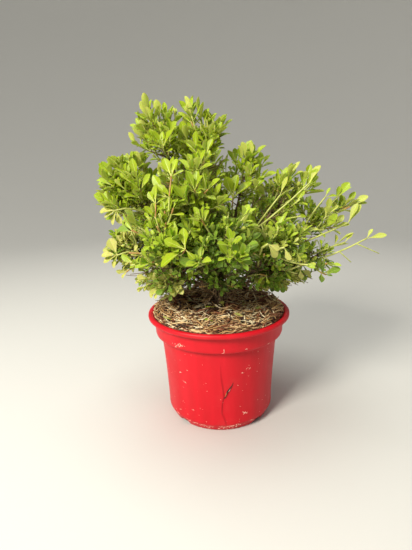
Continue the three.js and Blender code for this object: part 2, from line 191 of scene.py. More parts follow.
def seeded(seed):
    """A random number from 0 to 1 at each call, by the source's own rule."""
    mask = 0xFFFFFFFF
    state = seed

    def draw():
        nonlocal state
        state = (state + 0x6D2B79F5) & mask
        mixed = ((state ^ (state >> 15)) * (state | 1)) & mask
        mixed ^= (mixed + (((mixed ^ (mixed >> 7)) * (mixed | 61)) & mask)) & mask
        return (mixed ^ (mixed >> 14)) / 2**32

    return draw


@dataclass
class Twig:
    """A rank of twigs: where on their parent they start, their length, how far they open from it, how much
    they rise, lean out and bow, the radii of their ends, and how deep their tips lie in the mass and in the
    whole crown, as spreads."""

    starts: tuple
    length: float
    opening: tuple
    lift: float
    out: float
    bow: float
    radii: tuple
    depth: tuple
    cover: tuple = (0, 0)


@dataclass
class Spray:
    """Leaves along a twig: from what share of it to the tip, their number and size, how far they open, how
    much they rise, and how broad they are."""

    first: float
    count: int
    size: float
    opening: tuple
    lift: float
    breadth: float = 1.0


@dataclass
class Habit:
    """How a mass grows: how many long wands each shoot has, its kind and number of leafy branches, how many
    spurs each branch, shoot and stem has, and the leaves of shoots, branches and spurs."""

    wands: int
    branch: Twig
    branches: int
    branch_spurs: int
    shoot_spurs: int
    stem_spurs: int
    shoot_leaves: Spray
    branch_leaves: Spray
    spur_leaves: Spray


class Bend:
    """A quadratic curve, with points and directions at shares of its length."""

    STEPS = np.linspace(0, 1, 101)

    def __init__(self, *corners):
        self.corners = [np.asarray(corner, float) for corner in corners]
        gaps = np.linalg.norm(np.diff(self.point(self.STEPS), axis=0), axis=1)
        lengths = np.concatenate([[0], np.cumsum(gaps)])
        self.length = lengths[-1]
        self.shares = lengths / self.length

    def point(self, step):
        start, middle, end = self.corners
        step = np.asarray(step, float)[..., None]
        return (1 - step) ** 2 * start + 2 * step * (1 - step) * middle + step**2 * end

    def along(self, share):
        return self.point(np.interp(share, self.shares, self.STEPS))

    def way(self, share):
        start, middle, end = self.corners
        step = np.interp(share, self.shares, self.STEPS)
        return unit((1 - step) * (middle - start) + step * (end - middle))


def bowed(start, end, bow):
    """A curve that sets off flatter than it ends, by a share of its length."""
    whole = end - start
    length = np.linalg.norm(whole)
    middle = (start + end) / 2 - UP * bow * length * (1 - whole[2] / length)
    return Bend(start, middle, end)


# Camera, light and floor

CAMERA_PLACE = (0, -532.6, 332.6)
CAMERA_PITCH = math.radians(14.9)
CAMERA_YAW = math.radians(-1.69)
CAMERA_ROLL = math.radians(-1.64)
CAMERA_LENS = 27.03
SENSOR_WIDTH = 36

# Each light's place and aim in metres, its size, its watts and its colour
LIGHTS = {
    "key_light": ((-0.82, -1.12, 1.2), (0, 0, 0.22), 0.5, 43, (1.0, 0.95, 0.84)),
    "top_light": ((-0.2, 0.1, 1.7), (0, 0, 0.3), 0.9, 15, (1.0, 0.98, 0.9)),
}
SKY_COLOUR = (1.0, 0.99, 0.97, 1)
SKY_STRENGTH = 0.45
FLOOR_CENTRE = 10
FLOOR_RADIUS = 1500
FLOOR_BEND = 1600
FLOOR_BENDS = 24
FLOOR_SIDES = 128
FLOOR_DROP = 0.3
BACKDROP_HEIGHT = 2600


def add_object(name, data):
    thing = bpy.data.objects.new(name, data)
    bpy.context.collection.objects.link(thing)
    return thing


def make_camera():
    data = bpy.data.cameras.new("camera")
    data.lens = CAMERA_LENS
    data.sensor_width = SENSOR_WIDTH
    camera = add_object("camera", data)
    turn = Matrix.Rotation(-CAMERA_YAW, 4, "Z") @ Matrix.Rotation(math.pi / 2 - CAMERA_PITCH, 4, "X")
    roll = Matrix.Rotation(CAMERA_ROLL, 4, "Z")
    camera.matrix_world = Matrix.Translation(Vector(CAMERA_PLACE) * MM) @ turn @ roll
    bpy.context.scene.camera = camera


def make_light():
    """Soft light from the front left and from above, under a pale sky."""
    for name, (place, aim, size, watts, colour) in LIGHTS.items():
        data = bpy.data.lights.new(name, "AREA")
        data.size = size
        data.energy = watts
        data.color = colour
        light = add_object(name, data)
        light.location = place
        light.rotation_euler = (Vector(aim) - Vector(place)).to_track_quat("-Z", "Y").to_euler()
    world = bpy.data.worlds.new("sky")
    world.use_nodes = True
    background = world.node_tree.nodes["Background"]
    background.inputs["Color"].default_value = SKY_COLOUR
    background.inputs["Strength"].default_value = SKY_STRENGTH
    bpy.context.scene.world = world
    bpy.context.scene.view_settings.view_transform = "Standard"


def make_floor():
    """A pale bowl that is the floor and the backdrop."""
    bends = np.linspace(0, math.pi / 2, FLOOR_BENDS)[1:]
    radii = np.array([FLOOR_CENTRE, FLOOR_RADIUS, *(FLOOR_RADIUS + FLOOR_BEND * np.sin(bends))])
    heights = np.array([0, 0, *(FLOOR_BEND * (1 - np.cos(bends)))]) - FLOOR_DROP
    radii, heights = np.append(radii, radii[-1]), np.append(heights, BACKDROP_HEIGHT)
    points = round_points(radii[:, None], round_angles(FLOOR_SIDES), heights[:, None]).reshape(-1, 3)
    pale = plain_material("floor_pale", "c6c6c3", 0.85)
    make_mesh("floor", points, grid_triangles(len(radii), FLOOR_SIDES), [pale])


# Materials

ROUGHNESS_SPREAD = 0.1
LEAF_FINISH = {"Subsurface_Weight": 0.25, "Subsurface_Radius": (0.4, 0.8, 0.1), "Subsurface_Scale": 0.002,
               "Specular_IOR_Level": 0.28}


def linear(code):
    """A colour written as six hex digits, in linear light."""
    parts = [int(code[i:i + 2], 16) / 255 for i in (0, 2, 4)]
    return tuple(p / 12.92 if p <= 0.04045 else ((p + 0.055) / 1.055) ** 2.4 for p in parts) + (1,)


class Finish:
    """A material, with its shader, its object coordinates and the nodes added to them."""

    def __init__(self, name):
        self.material = bpy.data.materials.new(name)
        self.material.use_nodes = True
        self.tree = self.material.node_tree
        self.shader = self.tree.nodes["Principled BSDF"]
        self.place = self.node("TexCoord", "Object")

    def put(self, node, **inputs):
        """Sets a node's inputs, or joins them to other nodes. _ stands for a space in their names."""
        for name, value in inputs.items():
            socket = node.inputs[name.replace("_", " ")]
            if isinstance(value, bpy.types.NodeSocket):
                self.tree.links.new(value, socket)
            else:
                socket.default_value = value

    def node(self, kind, output, **inputs):
        node = self.tree.nodes.new("ShaderNode" + kind)
        self.put(node, **inputs)
        return node.outputs[output]

    def noise(self, scale, detail=4, stretch=(1, 1, 1)):
        """A noise pattern; scale counts its lumps in a metre."""
        place = self.node("Mapping", "Vector", Vector=self.place, Scale=stretch)
        return self.node("TexNoise", "Fac", Vector=place, Scale=scale, Detail=detail)

    def ramp(self, value, stops):
        """Colours by a value, from stops of place and hex colour."""
        ramp = self.tree.nodes.new("ShaderNodeValToRGB")
        elements = ramp.color_ramp.elements
        while len(elements) < len(stops):
            elements.new(0.5)
        for element, (position, code) in zip(elements, stops):
            element.position = position
            element.color = linear(code)
        self.put(ramp, Fac=value)
        return ramp.outputs["Color"]

    def roughen(self, value, least, most):
        """Roughness that goes from one value to another with a pattern."""
        spread = self.node("MapRange", "Result", Value=value, To_Min=least, To_Max=most)
        self.put(self.shader, Roughness=spread)

    def emboss(self, height, strength, distance):
        """Relief by a pattern."""
        bump = self.node("Bump", "Normal", Strength=strength, Distance=distance, Height=height)
        self.put(self.shader, Normal=bump)


def plain_material(name, code, roughness, grain_scale=400, bump=0.1, **settings):
    """One base colour, with a fine grain in its gloss and relief."""
    finish = Finish(name)
    finish.put(finish.shader, Base_Color=linear(code), **settings)
    grain = finish.noise(grain_scale)
    finish.roughen(grain, roughness - ROUGHNESS_SPREAD, roughness + ROUGHNESS_SPREAD)
    finish.emboss(grain, bump, 0.0005)
    return finish.material


def patchy_material(name, stops, roughness, scale, stretch=(1, 1, 1), bump=0.6, distance=0.001):
    """A colour that varies over the surface in patches, with relief to match."""
    finish = Finish(name)
    patches = finish.noise(scale, detail=8, stretch=stretch)
    finish.put(finish.shader, Base_Color=finish.ramp(patches, stops))
    finish.roughen(patches, roughness - ROUGHNESS_SPREAD, roughness + ROUGHNESS_SPREAD)
    finish.emboss(patches, bump, distance)
    return finish.material


def pot_material():
    """Red moulded plastic: faintly streaked, and dusty in patches."""
    finish = Finish("pot_plastic")
    streaks = finish.noise(60, stretch=(1, 1, 0.12))
    dust = finish.noise(45, detail=10)
    mix = finish.tree.nodes.new("ShaderNodeMix")
    mix.data_type = "RGBA"
    finish.put(mix, A=finish.ramp(streaks, [(0.3, "c00b1b"), (0.55, "ca0d1f"), (0.75, "d41225")]),
               B=linear("d08a78"), Factor=finish.ramp(dust, [(0.56, "000000"), (0.9, "4a4a4a")]))
    finish.put(finish.shader, Base_Color=mix.outputs["Result"], Specular_IOR_Level=0.3)
    finish.roughen(dust, 0.32, 0.6)
    finish.emboss(finish.noise(900), 0.1, 0.0003)
    return finish.material


# Meshes

def make_mesh(name, points, triangles, materials, looks=None, sharp_rim=None, smooth=True):
    """An object from arrays in millimetres. looks gives each triangle's material, and an edge between two
    points of sharp_rim stays sharp."""
    mesh = bpy.data.meshes.new(name)
    mesh.vertices.add(len(points))
    mesh.vertices.foreach_set("co", (np.asarray(points, float) * MM).ravel())
    mesh.loops.add(3 * len(triangles))
    mesh.loops.foreach_set("vertex_index", np.asarray(triangles, np.int32).ravel())
    mesh.polygons.add(len(triangles))
    mesh.polygons.foreach_set("loop_start", np.arange(0, 3 * len(triangles), 3, dtype=np.int32))
    for material in materials:
        mesh.materials.append(material)
    if looks is not None:
        mesh.polygons.foreach_set("material_index", np.asarray(looks, np.int32))
    mesh.update(calc_edges=True)
    if smooth:
        mesh.shade_smooth()
    if sharp_rim is not None:
        ends = np.empty(2 * len(mesh.edges), np.int32)
        mesh.edges.foreach_get("vertices", ends)
        on_rim = np.asarray(sharp_rim)[ends.reshape(-1, 2)].all(axis=1)
        mark = mesh.attributes.new("sharp_edge", "BOOLEAN", "EDGE")
        mark.data.foreach_set("value", on_rim)
    return add_object(name, mesh)


def make_piece(nodes, slot, *mesh, **how):
    """A piece on the root body that stands for CAD nodes. Its slot is not used."""
    piece = make_mesh(*mesh, **how)
    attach(piece, "root")
    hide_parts(*nodes)


class Heap:
    """Points and triangles gathered for one piece."""

    def __init__(self):
        self.points, self.triangles, self.looks, self.count = [], [], [], 0

    def add(self, points, triangles, look=0):
        self.points.append(points)
        self.triangles.append(triangles + self.count)
        self.looks.append(np.broadcast_to(look, len(triangles)))
        self.count += len(points)

    def piece(self, nodes, slot, name, materials, **how):
        points, triangles, looks = map(np.concatenate, (self.points, self.triangles, self.looks))
        make_piece(nodes, slot, name, points, triangles, materials, looks, **how)


def grid_triangles(rows, columns):
    """Triangles between rows of points, each row closed round on itself."""
    row, column = np.meshgrid(np.arange(rows - 1), np.arange(columns), indexing="ij")
    a, b = row * columns + column, row * columns + (column + 1) % columns
    c, d = a + columns, b + columns
    return np.concatenate([np.stack(corners, -1).reshape(-1, 3) for corners in ((a, b, d), (a, d, c))])


def tube_triangles(rings, sides):
    """Triangles of a tube with a point closing each end: its foot is the last point but one."""
    column = np.arange(sides)
    after = (column + 1) % sides
    foot, last = rings * sides, (rings - 1) * sides
    foot_cap = np.stack([after, column, np.full(sides, foot)], -1)
    tip_cap = np.stack([last + column, last + after, np.full(sides, foot + 1)], -1)
    return np.concatenate([grid_triangles(rings, sides), foot_cap, tip_cap])


def tube_points(path, radii, sides, flat=1.0, reference=ASIDE):
    """The points of one closed tube along a path; flat narrows it across its length and the reference."""
    path, radii = np.asarray(path, float), np.asarray(radii, float)
    ahead = unit(np.gradient(path, axis=0))
    reference = reference if abs(ahead[0] @ unit(reference)) < 0.9 else UP
    side = unit(np.cross(reference, ahead))
    other = flat * np.cross(ahead, side)
    angles = round_angles(sides)[None, :, None]
    ring = np.cos(angles) * side[:, None] + np.sin(angles) * other[:, None]
    rings = path[:, None] + radii[:, None, None] * ring
    return np.concatenate([rings.reshape(-1, 3), path[:1], path[-1:] + ahead[-1:] * radii[-1]])


# Limbs, as in the source

CROWN_SOFTNESS = 10
NO_LENGTH = 1e-6
BARK_SIDES = 20
BARK_STEP = 1.2
BARK_RIDGES = 2.4
BARK_STRETCH = 0.22
BARK_LUMPS = 0.35
TRUNK_BARK = 0.7
BOUGH_BARK = 0.35


def mulch_height(radius):
    share = np.minimum(1, radius / COLLAR_RADIUS)
    return MULCH_EDGE + MULCH_MOUND * (1 - share**2)


def cell_room(name, points):
    """How deep points lie in a mass's own cell, all that is nearer to its heart than to any other."""
    own = HEARTS[name]
    rooms = []
    for other, heart in HEARTS.items():
        if other != name:
            far, near = ((points - heart) ** 2).sum(-1), ((points - own) ** 2).sum(-1)
            rooms.append((far - near) / (2 * np.linalg.norm(heart - own)))
    return np.min(rooms, axis=0)


def reach_room(name, points, round_tips, beyond):
    """How deep points lie within a mass's reach: round its heart, and in a capsule round the line to each tip
    that stands out, which ends a little beyond it."""
    heart = HEARTS[name]
    deep = MASSES[name].reach - np.linalg.norm(points - heart, axis=-1)
    for tip in MASSES[name].tips:
        line = np.array(tip) - heart
        line *= 1 + (beyond - round_tips) / np.linalg.norm(line)
        share = np.clip((points - heart) @ line / (line @ line), 0, 1)
        off = np.linalg.norm(points - heart - share[..., None] * line, axis=-1)
        deep = np.maximum(deep, round_tips - off)
    return deep


def ground_room(points):
    """How high points lie above the pot's rim and the mulch."""
    radius = np.hypot(points[..., 0], points[..., 1])
    return points[..., 2] - np.maximum(POT_HEIGHT, mulch_height(radius)) - 2 * ROUGHNESS


def room(name, points):
    """How deep points lie in a mass's own space, as in the source."""
    reach = reach_room(name, points, TIP_REACH, TIP_REACH)
    own = np.minimum(reach, cell_room(name, points) - SPACE_GAP)
    return np.minimum(own, ground_room(points))


def loose_room(name, points):
    """How deep points lie in the space of a mass's finer twigs and leaves, which may mingle with others'."""
    reach = reach_room(name, points, LEAF_TIP_REACH, LEAF_BEYOND_TIP)
    return np.minimum(reach, ground_room(points))


def crown_parts():
    """The round parts that the crown is made of: where each starts, the line it follows, and its radius."""
    parts = [(*heart, 0, 0, NO_LENGTH, MASSES[name].reach) for name, heart in HEARTS.items()]
    for mass in MASSES.values():
        parts += [(*mass.heart, *np.subtract(tip, mass.heart), LEAF_TIP_REACH) for tip in mass.tips]
    return np.split(np.array(parts), (3, 6), axis=1)


PART_STARTS, PART_LINES, PART_RADII = crown_parts()


def crown_room(points):
    """How deep points lie in the whole crown, whose masses run into each other without creases."""
    from_start = points[..., None, :] - PART_STARTS
    share = np.clip((from_start * PART_LINES).sum(-1) / (PART_LINES**2).sum(-1), 0, 1)
    off = np.linalg.norm(from_start - share[..., None] * PART_LINES, axis=-1)
    return CROWN_SOFTNESS * np.log(np.exp((PART_RADII[:, 0] - off) / CROWN_SOFTNESS).sum(-1))


def twig_room(points):
    """How deep points lie well inside the crown and above the mulch, for the bare twigs on the limbs."""
    return np.minimum(crown_room(points) - DEAD_COVER, ground_room(points))


def inner_room(points):
    """How deep points lie in the crown and above its leafy lower edge, for the spurs on the limbs."""
    return np.minimum(crown_room(points), points[..., 2] - LIMB_LOWEST)


def trunk_radius(share, angle):
    """The trunk's radius at a share of its height, with the lobes of the flare round its foot."""
    flare = FLARE_RADIUS * math.exp(-share * TRUNK_LENGTH / FLARE_LENGTH)
    return between(TRUNK_RADII, share) + flare * (0.8 + 0.2 * math.cos(4 * angle))


def make_limbs():
    """The trunk's curve and each mass's limb, with the share of its length where the mass begins."""
    foot = np.array([0, 0, COMPOST_TOP])
    curves = {"trunk": Bend(foot, foot + UP * TRUNK_LENGTH / 2, foot + [*TRUNK_LEAN, TRUNK_LENGTH])}
    ends = {}
    for name, mass in MASSES.items():
        curve = bowed(curves[mass.parent].point(mass.at), HEARTS[name], BOUGH_BOW)
        inside = np.flatnonzero(cell_room(name, curve.along(ENTRY_SHARES)) > ENTRY_ROOM)
        curves[name] = curve
        ends[name] = ENTRY_SHARES[inside[0]] if len(inside) else ENTRY_SHARES[-1]
    return curves, ends


CURVES, ENDS = make_limbs()


def bark_tube(curve, radius_at, depth, end=1.0):
    """A limb with long ridges and small lumps in its surface."""
    rings = max(4, int(curve.length * end / BARK_STEP))
    shares = np.linspace(0, end, rings)
    path = curve.along(shares)
    points = tube_points(path, np.ones(rings), BARK_SIDES)
    for i in range(rings * BARK_SIDES):
        ring, side = divmod(i, BARK_SIDES)
        out = points[i] - path[ring]
        ridges = noise.noise(Vector(out * BARK_RIDGES + UP * points[i] * BARK_STRETCH))
        lumps = noise.noise(Vector(points[i] * BARK_LUMPS))
        radius = radius_at(shares[ring], math.tau * side / BARK_SIDES)
        points[i] = path[ring] + out * (radius + depth * (ridges + 0.6 * lumps))
    return points, tube_triangles(rings, BARK_SIDES)


def make_bark():
    """The trunk and the boughs, dressed in bark."""
    heap = Heap()
    heap.add(*bark_tube(CURVES["trunk"], trunk_radius, TRUNK_BARK))
    for name, end in ENDS.items():
        def bough_radius(share, _, end=end):
            return between(BOUGH_RADII, share / end)
        heap.add(*bark_tube(CURVES[name], bough_radius, BOUGH_BARK, end))
    stops = [(0.32, "2b2019"), (0.5, "57432f"), (0.66, "7d6547"), (0.8, "9a8768")]
    material = patchy_material("bark", stops, 0.85, 240, stretch=(1, 1, 0.3))
    heap.piece(["trunk", *("bough_" + name for name in MASSES)], "bark", "limb_bark", [material])


# Twigs

TWIG_RINGS = 5
TWIG_SIDES = 5
TWIG_TRIANGLES = tube_triangles(TWIG_RINGS, TWIG_SIDES)
TWIG_SIZES = (0.7, 0.6)
LOW_AND_HIGH_TWIGS = (1.15, 0.75)
STEM_RADII = (1.7, 1.1)
SHOOT_RADII = (1.3, 0.9)
BARE_SHOOT_RADII = (1.5, 1.1)
BROWN, GREEN, RED = 0, 1, 2


def twig_looks(low, middle, high):
    """The look of each triangle of a twig: one below, one in the middle and one near its tip."""
    per_ring = np.repeat([low, middle, middle, high], TWIG_SIDES)
    return np.concatenate([per_ring, per_ring, np.repeat(low, TWIG_SIDES), np.repeat(high, TWIG_SIDES)])


BROWN_TWIG = twig_looks(BROWN, BROWN, BROWN)
GREEN_TWIG = twig_looks(GREEN, GREEN, GREEN)
BROWN_TO_GREEN = twig_looks(BROWN, BROWN, GREEN)


def add_twig(heap, curve, radii, looks):
    shares = np.linspace(0, 1, TWIG_RINGS)
    heap.add(tube_points(curve.along(shares), between(radii, shares), TWIG_SIDES), TWIG_TRIANGLES, looks)


def kept(start, whole, allowed):
    """The end of a twig, shortened until it lies where it is allowed, or None."""
    for share in SHORTENED:
        end = start + whole * share
        if allowed(end):
            return end
    return None


def mass_shoots(name):
    """The shoots of a mass, by the source's rule: those that stand out, and then the fan."""
    mass, heart, curve = MASSES[name], HEARTS[name], CURVES[name]
    random = seeded(SHOOT_SEED + ORDER[name])
    ahead = unit(curve.way(1.0) + LIFT * UP)
    targets = [np.array(tip, float) for tip in mass.tips]
    for k in range(mass.shoots):
        turn = k * GOLDEN_ANGLE + TURN_SPREAD * (random() - 0.5)
        lean = FAN * math.sqrt((k + 0.5) / mass.shoots)
        length = (mass.reach - LEAF_BEYOND * LEAF_LENGTH) * (LENGTH_LEAST + LENGTH_SPREAD * random())
        targets.append(heart + length * (ahead * math.cos(lean) + across(ahead, turn) * math.sin(lean)))
    shoots = []
    for k, target in enumerate(targets):
        start = curve.along(1 - (1 - ENDS[name]) * (FIRST_SHOOT + SHOOTS_ALONG * k / len(targets)))
        whole = target - start
        stands_out = k < len(mass.tips)
        if stands_out:
            whole *= 1 - LEAF_LENGTH / np.linalg.norm(whole)
        tip = kept(start, whole, lambda end: room(name, end) > TIP_ROOM)
        if tip is not None:
            shoots.append((bowed(start, tip, SHOOT_BOW), stands_out))
    return shoots


def side_twigs(space, parent, kind, count, random):
    """Twigs that branch off a parent, turned by the golden angle from each to the next and bent to the light,
    and keep to a space."""
    twigs = []
    turn = math.tau * random()
    for i in range(count):
        share = between(kind.starts, (i + random()) / count)
        start, ahead = parent.along(share), parent.way(share)
        side = across(ahead, turn + i * GOLDEN_ANGLE)
        angle = math.radians(between(kind.opening, random()))
        out = unit(start - CROWN_CENTRE)
        way = unit(ahead * math.cos(angle) + side * math.sin(angle) + kind.lift * UP + kind.out * out)
        whole = way * kind.length * between(LOW_AND_HIGH_TWIGS, share) * vary(random, TWIG_SIZES)
        depth, cover = vary(random, kind.depth), vary(random, kind.cover)
        tip = kept(start, whole, lambda end: space(end) > depth and crown_room(end) > cover)
        if tip is not None:
            twigs.append(bowed(start, tip, kind.bow))
    return twigs


# Leaves: widest past the middle, blunt at the tip and narrow at the root, folded a little along the rib. The
# upper side has two halves and the rib between them, and the underside has two halves.

LEAF_LENGTH = 25
LEAF_SHAPE = [(0, 0.04), (0.22, 0.09), (0.45, 0.30), (0.68, 0.5), (0.86, 0.37), (0.96, 0.17)]
SMALL_SHAPE = [(0, 0.06), (0.25, 0.17), (0.5, 0.4), (0.72, 0.5), (0.9, 0.34)]
LEAF_SCALES = (1, 0.85, 0.7, 0.55)
LEAF_THICKNESS = 0.35
RIB_WIDTH = 0.8
BLADE, RIB, UNDER = 0, 1, 2
TIP_ROOM = 4

# How leaves vary by chance, as spreads: how much they turn round their twig and open from it, in degrees, how
# much they roll, their size, their width as a share of their length, their fold and their curl
LEAF_TURNS = (-0.3, 0.6)
LEAF_ANGLES = (-9, 18)
LEAF_ROLLS = (-0.25, 0.5)
LEAF_SIZES = (0.75, 0.4)
LEAF_WIDTHS = (0.34, 0.12)
LEAF_FOLDS = (0.25, 0.45)
LEAF_CURLS = (-0.175, 0.25)
LAST_LEAF = 0.995
LEAVES_TO_TIP = 0.6


def leaf_template(shape, ribbed):
    """A leaf's points as along, across in half widths, rib side and below, with its triangles, their parts
    and which points are on its rim."""
    middle = [(0, -1, 0), (0, 1, 0)] if ribbed else [(0, 0, 0)]
    columns = [(-1, 0, 0), *middle, (1, 0, 0), (0, 0, 1)]
    points, rim, triangles, parts = [], [], [], []
    for along, half_width in shape:
        for blade, rib, below in columns:
            points.append((along, blade * half_width, rib * (1 - along), below))
            rim.append(blade != 0)
    tip, wide = len(points), len(columns)
    points.append((1, 0, 0, 0))
    rim.append(True)
    pairs = [(i, i + 1, RIB if ribbed and i == 1 else BLADE) for i in range(wide - 2)]
    pairs += [(wide - 2, wide - 1, UNDER), (wide - 1, 0, UNDER)]
    for row in range(0, tip, wide):
        for left, right, part in pairs:
            a, b = row + left, row + right
            faces = [(a, b, b + wide), (a, b + wide, a + wide)] if row + wide < tip else [(a, b, tip)]
            triangles += faces
            parts += [part] * len(faces)
    return np.array(points), np.array(triangles), np.array(parts), np.array(rim)


LEAF_TEMPLATE = leaf_template(LEAF_SHAPE, True)
SMALL_TEMPLATE = leaf_template(SMALL_SHAPE, False)


class Leaves:
    """The leaves of one mass, gathered as rows of roots, directions, sizes and tints."""

    def __init__(self, template):
        self.template = template
        self.rows = []

    def add(self, root, way, face, length, width, fold, curl, group):
        face = unit(face - way * (face @ way))
        self.rows.append((*root, *way, *face, length, width, fold, curl, group))

    def placed(self, rows, scale):
        """The points of each leaf at a share of its size."""
        root, way, face = np.split(rows[:, None, :9], 3, axis=2)
        length, width, fold, curl = (rows[:, i, None] for i in range(9, 13))
        length, width = length * scale, width * scale
        along, blade, rib, below = self.template[0].T
        half = blade * width
        rise = fold * np.abs(half) + curl * length * along**2 - below * LEAF_THICKNESS
        sideways = half + rib * RIB_WIDTH / 2
        return (root + way * (along * length)[..., None] + np.cross(face, way) * sideways[..., None]
                + face * rise[..., None])

    def clear_view(self):
        """Leaves out the leaves that hide a spray in SEEN from the camera."""
        rows = np.array(self.rows).reshape(-1, 14)
        from_camera = rows[:, 0:3] + rows[:, 3:6] * rows[:, 9:10] / 2 - CAMERA_PLACE
        nearest = from_camera @ SIGHT_WAYS.T
        off = np.linalg.norm(from_camera[:, None] - nearest[..., None] * SIGHT_WAYS, axis=-1)
        hides = (off < SIGHT_ROOM + rows[:, 9:10] / 4) & (nearest < SIGHT_LENGTHS - 1)
        self.rows = list(rows[~hides.any(axis=1)])

    def build(self, heap, space):
        """Adds the leaves, each made smaller where it would leave its space, and tells which points are on a
        rim."""
        points, triangles, parts, rim = self.template
        left = np.array(self.rows).reshape(-1, 14)
        count = 0
        for scale in LEAF_SCALES:
            placed = self.placed(left, scale)
            fits = (space(placed) > 0).all(axis=1)
            groups = left[fits, 13].astype(int)
            left = left[~fits]
            if fits.any():
                starts = np.arange(len(groups))[:, None, None] * len(points)
                faces = (triangles[None] + starts).reshape(-1, 3)
                heap.add(placed[fits].reshape(-1, 3), faces, LEAF_LOOKS[groups][:, parts].reshape(-1))
                count += len(groups)
        return np.tile(rim, count)


# The tints that sprays are dealt, from painted light on the sunlit top to painted shade in the shaded inside,
# and those of pale lower leaves
BLADES = {
    "bright": "8ea31c", "fresh": "8fa624", "light": "a6b04e", "mid": "93a92c", "deep": "718c30",
    "dark": "4f6424", "pale": "b6b862",
}
LEAF_CODES = {
    **BLADES, "rib_light": "c9ce74", "rib_deep": "a9af50", "under_light": "bcc45e", "under_deep": "8d9b40",
}
GROUPS, LOOKS = list(BLADES), list(LEAF_CODES)
# Mid, deep and dark are the painted shade of the crown's inside, and take the darker rib and underside.
DULL_GROUPS = ("mid", "deep", "dark")


def looks_of_tint(group):
    """The looks of a leaf's blade, rib and underside; a dull tint's rib and underside are darker, as painted
    shade.
    """
    shade = "deep" if group in DULL_GROUPS else "light"
    return [LOOKS.index(look) for look in (group, "rib_" + shade, "under_" + shade)]


LEAF_LOOKS = np.array([looks_of_tint(group) for group in GROUPS])

# Painted light and shade on a spray's leaves: less light with its depth in the crown, more with its height,
# some by chance, and less in deep masses
CROWN_CENTRE = np.array([15, 0, 262])
FULL_LIGHT = 1.15
LIT_DEPTH = 80
LIT_HEIGHT = 200
LIGHT_CHANCE = (-0.125, 0.25)
SHADE = 0.2

# The tints up to each level of light: the usual one, how often it is dealt, and the other. A share of the
# sprays of pale and light masses turn to their own tint above a level of light.
LIGHT_LEVELS = [(0.35, "dark", 1, "dark"), (0.52, "deep", 1, "deep"), (0.68, "mid", 0.7, "deep"),
                (0.88, "fresh", 0.6, "mid"), (math.inf, "bright", 0.6, "fresh")]
TURNING = {"pale": (0.3, 0.7), "light": (0.6, 0.35)}


def spray_group(name, tip, random):
    """The tint of a spray, with painted light and shade by how near the outside of the crown and how high it
    stands, and by chance.
    """
    tint = MASSES[name].tint
    light = (FULL_LIGHT - crown_room(tip) / LIT_DEPTH + (tip[2] - CROWN_CENTRE[2]) / LIT_HEIGHT
             + vary(random, LIGHT_CHANCE) - SHADE * (tint == "deep"))
    chance = random()
    least, share = TURNING.get(tint, (math.inf, 0))
    if light > least and chance < share:
        return GROUPS.index(tint)
    usual, often, other = next(row for level, *row in LIGHT_LEVELS if light < level)
    return GROUPS.index(usual if chance < often else other)


def leafy(leaves, curve, spray, group, random):
    """Leaves along a twig, turned by the golden angle from each to the next and closing towards its tip."""
    turn = math.tau * random()
    for j in range(spray.count):
        share = j / (spray.count - 1)
        place = between((spray.first, LAST_LEAF), share**LEAVES_TO_TIP)
        ahead = unit(curve.way(place) + spray.lift * UP)
        side = across(ahead, turn + j * GOLDEN_ANGLE + vary(random, LEAF_TURNS))
        angle = math.radians(between(spray.opening, share) + vary(random, LEAF_ANGLES))
        way = unit(ahead * math.cos(angle) + side * math.sin(angle))
        face = ahead + LEAF_FACING * SUNNY + vary(random, LEAF_ROLLS) * np.cross(ahead, side)
        swelling = 0.6 + 0.5 * math.sin(math.pi * between((0.1, 0.65), share))
        length = spray.size * swelling * vary(random, LEAF_SIZES)
        width = length * vary(random, LEAF_WIDTHS) * spray.breadth
        leaves.add(curve.along(place), way, face, length, width, vary(random, LEAF_FOLDS),
                   vary(random, LEAF_CURLS), group)


TWIG_SEED = 9000
LEAF_FACING = 0.5
SUNNY = unit(np.array([-0.5, -0.6, 0.9]))
WAND = Twig((0.0, 0.75), 58, (8, 44), 0.5, 0.3, 0.08, (1.3, 0.9), (13, 15))
BRANCH = Twig((0.08, 0.94), 32, (20, 60), 0.45, 0.1, 0.14, (0.75, 0.5), (12, 8), (26, 14))
LOW_BRANCH = Twig((0.08, 0.94), 32, (25, 75), 0.0, 0.3, -0.05, (0.75, 0.5), (8, 8), (8, 12))
SPUR = Twig((0.05, 0.8), 14, (35, 80), 0.15, 0.1, 0.1, (0.45, 0.3), (8, 6), (28, 16))
STEM_SPUR = Twig((0.05, 0.95), 22, (45, 85), 0.0, 0.1, 0.1, (0.45, 0.3), (8, 6), (20, 12))
LIMB_SPUR = Twig((0.22, 0.98), 27, (40, 85), 0.0, 0.1, 0.1, (0.8, 0.4), (4, 4))
TUFT = Spray(0.64, 6, 23, (64, 16), 0.5)
WAND_TUFT = Spray(0.7, 6, 22, (62, 14), 0.4)
WAND_LEAVES = Spray(0.15, 4, 11, (62, 38), 0.3)
BRANCH_TUFT = Spray(0.3, 7, 13, (60, 16), 0.5)
BARE_TUFT = Spray(0.93, 3, 27, (26, 6), 0.1)
SMALL_TUFT = Spray(0.15, 7, 10, (70, 25), 0.2)
ROUND_TUFT = Spray(0.3, 6, 12, (65, 20), 0.2, 1.4)
TINY_TUFT = Spray(0.2, 7, 9, (65, 25), 0.2, 1.3)
HABITS = {
    "leafy": Habit(4, BRANCH, 7, 4, 6, 16, TUFT, BRANCH_TUFT, SMALL_TUFT),
    "open": Habit(2, BRANCH, 3, 3, 4, 10, TUFT, BRANCH_TUFT, SMALL_TUFT),
    "small": Habit(0, BRANCH, 7, 4, 6, 16, ROUND_TUFT, ROUND_TUFT, SMALL_TUFT),
    "skirt": Habit(1, LOW_BRANCH, 8, 4, 6, 24, BRANCH_TUFT, ROUND_TUFT, TINY_TUFT),
    "shaded": Habit(0, LOW_BRANCH, 5, 4, 5, 20, BRANCH_TUFT, SMALL_TUFT, SMALL_TUFT),
    "airy": Habit(3, BRANCH, 5, 3, 4, 12, TUFT, BRANCH_TUFT, SMALL_TUFT),
}
RED_SHARE = 0.3


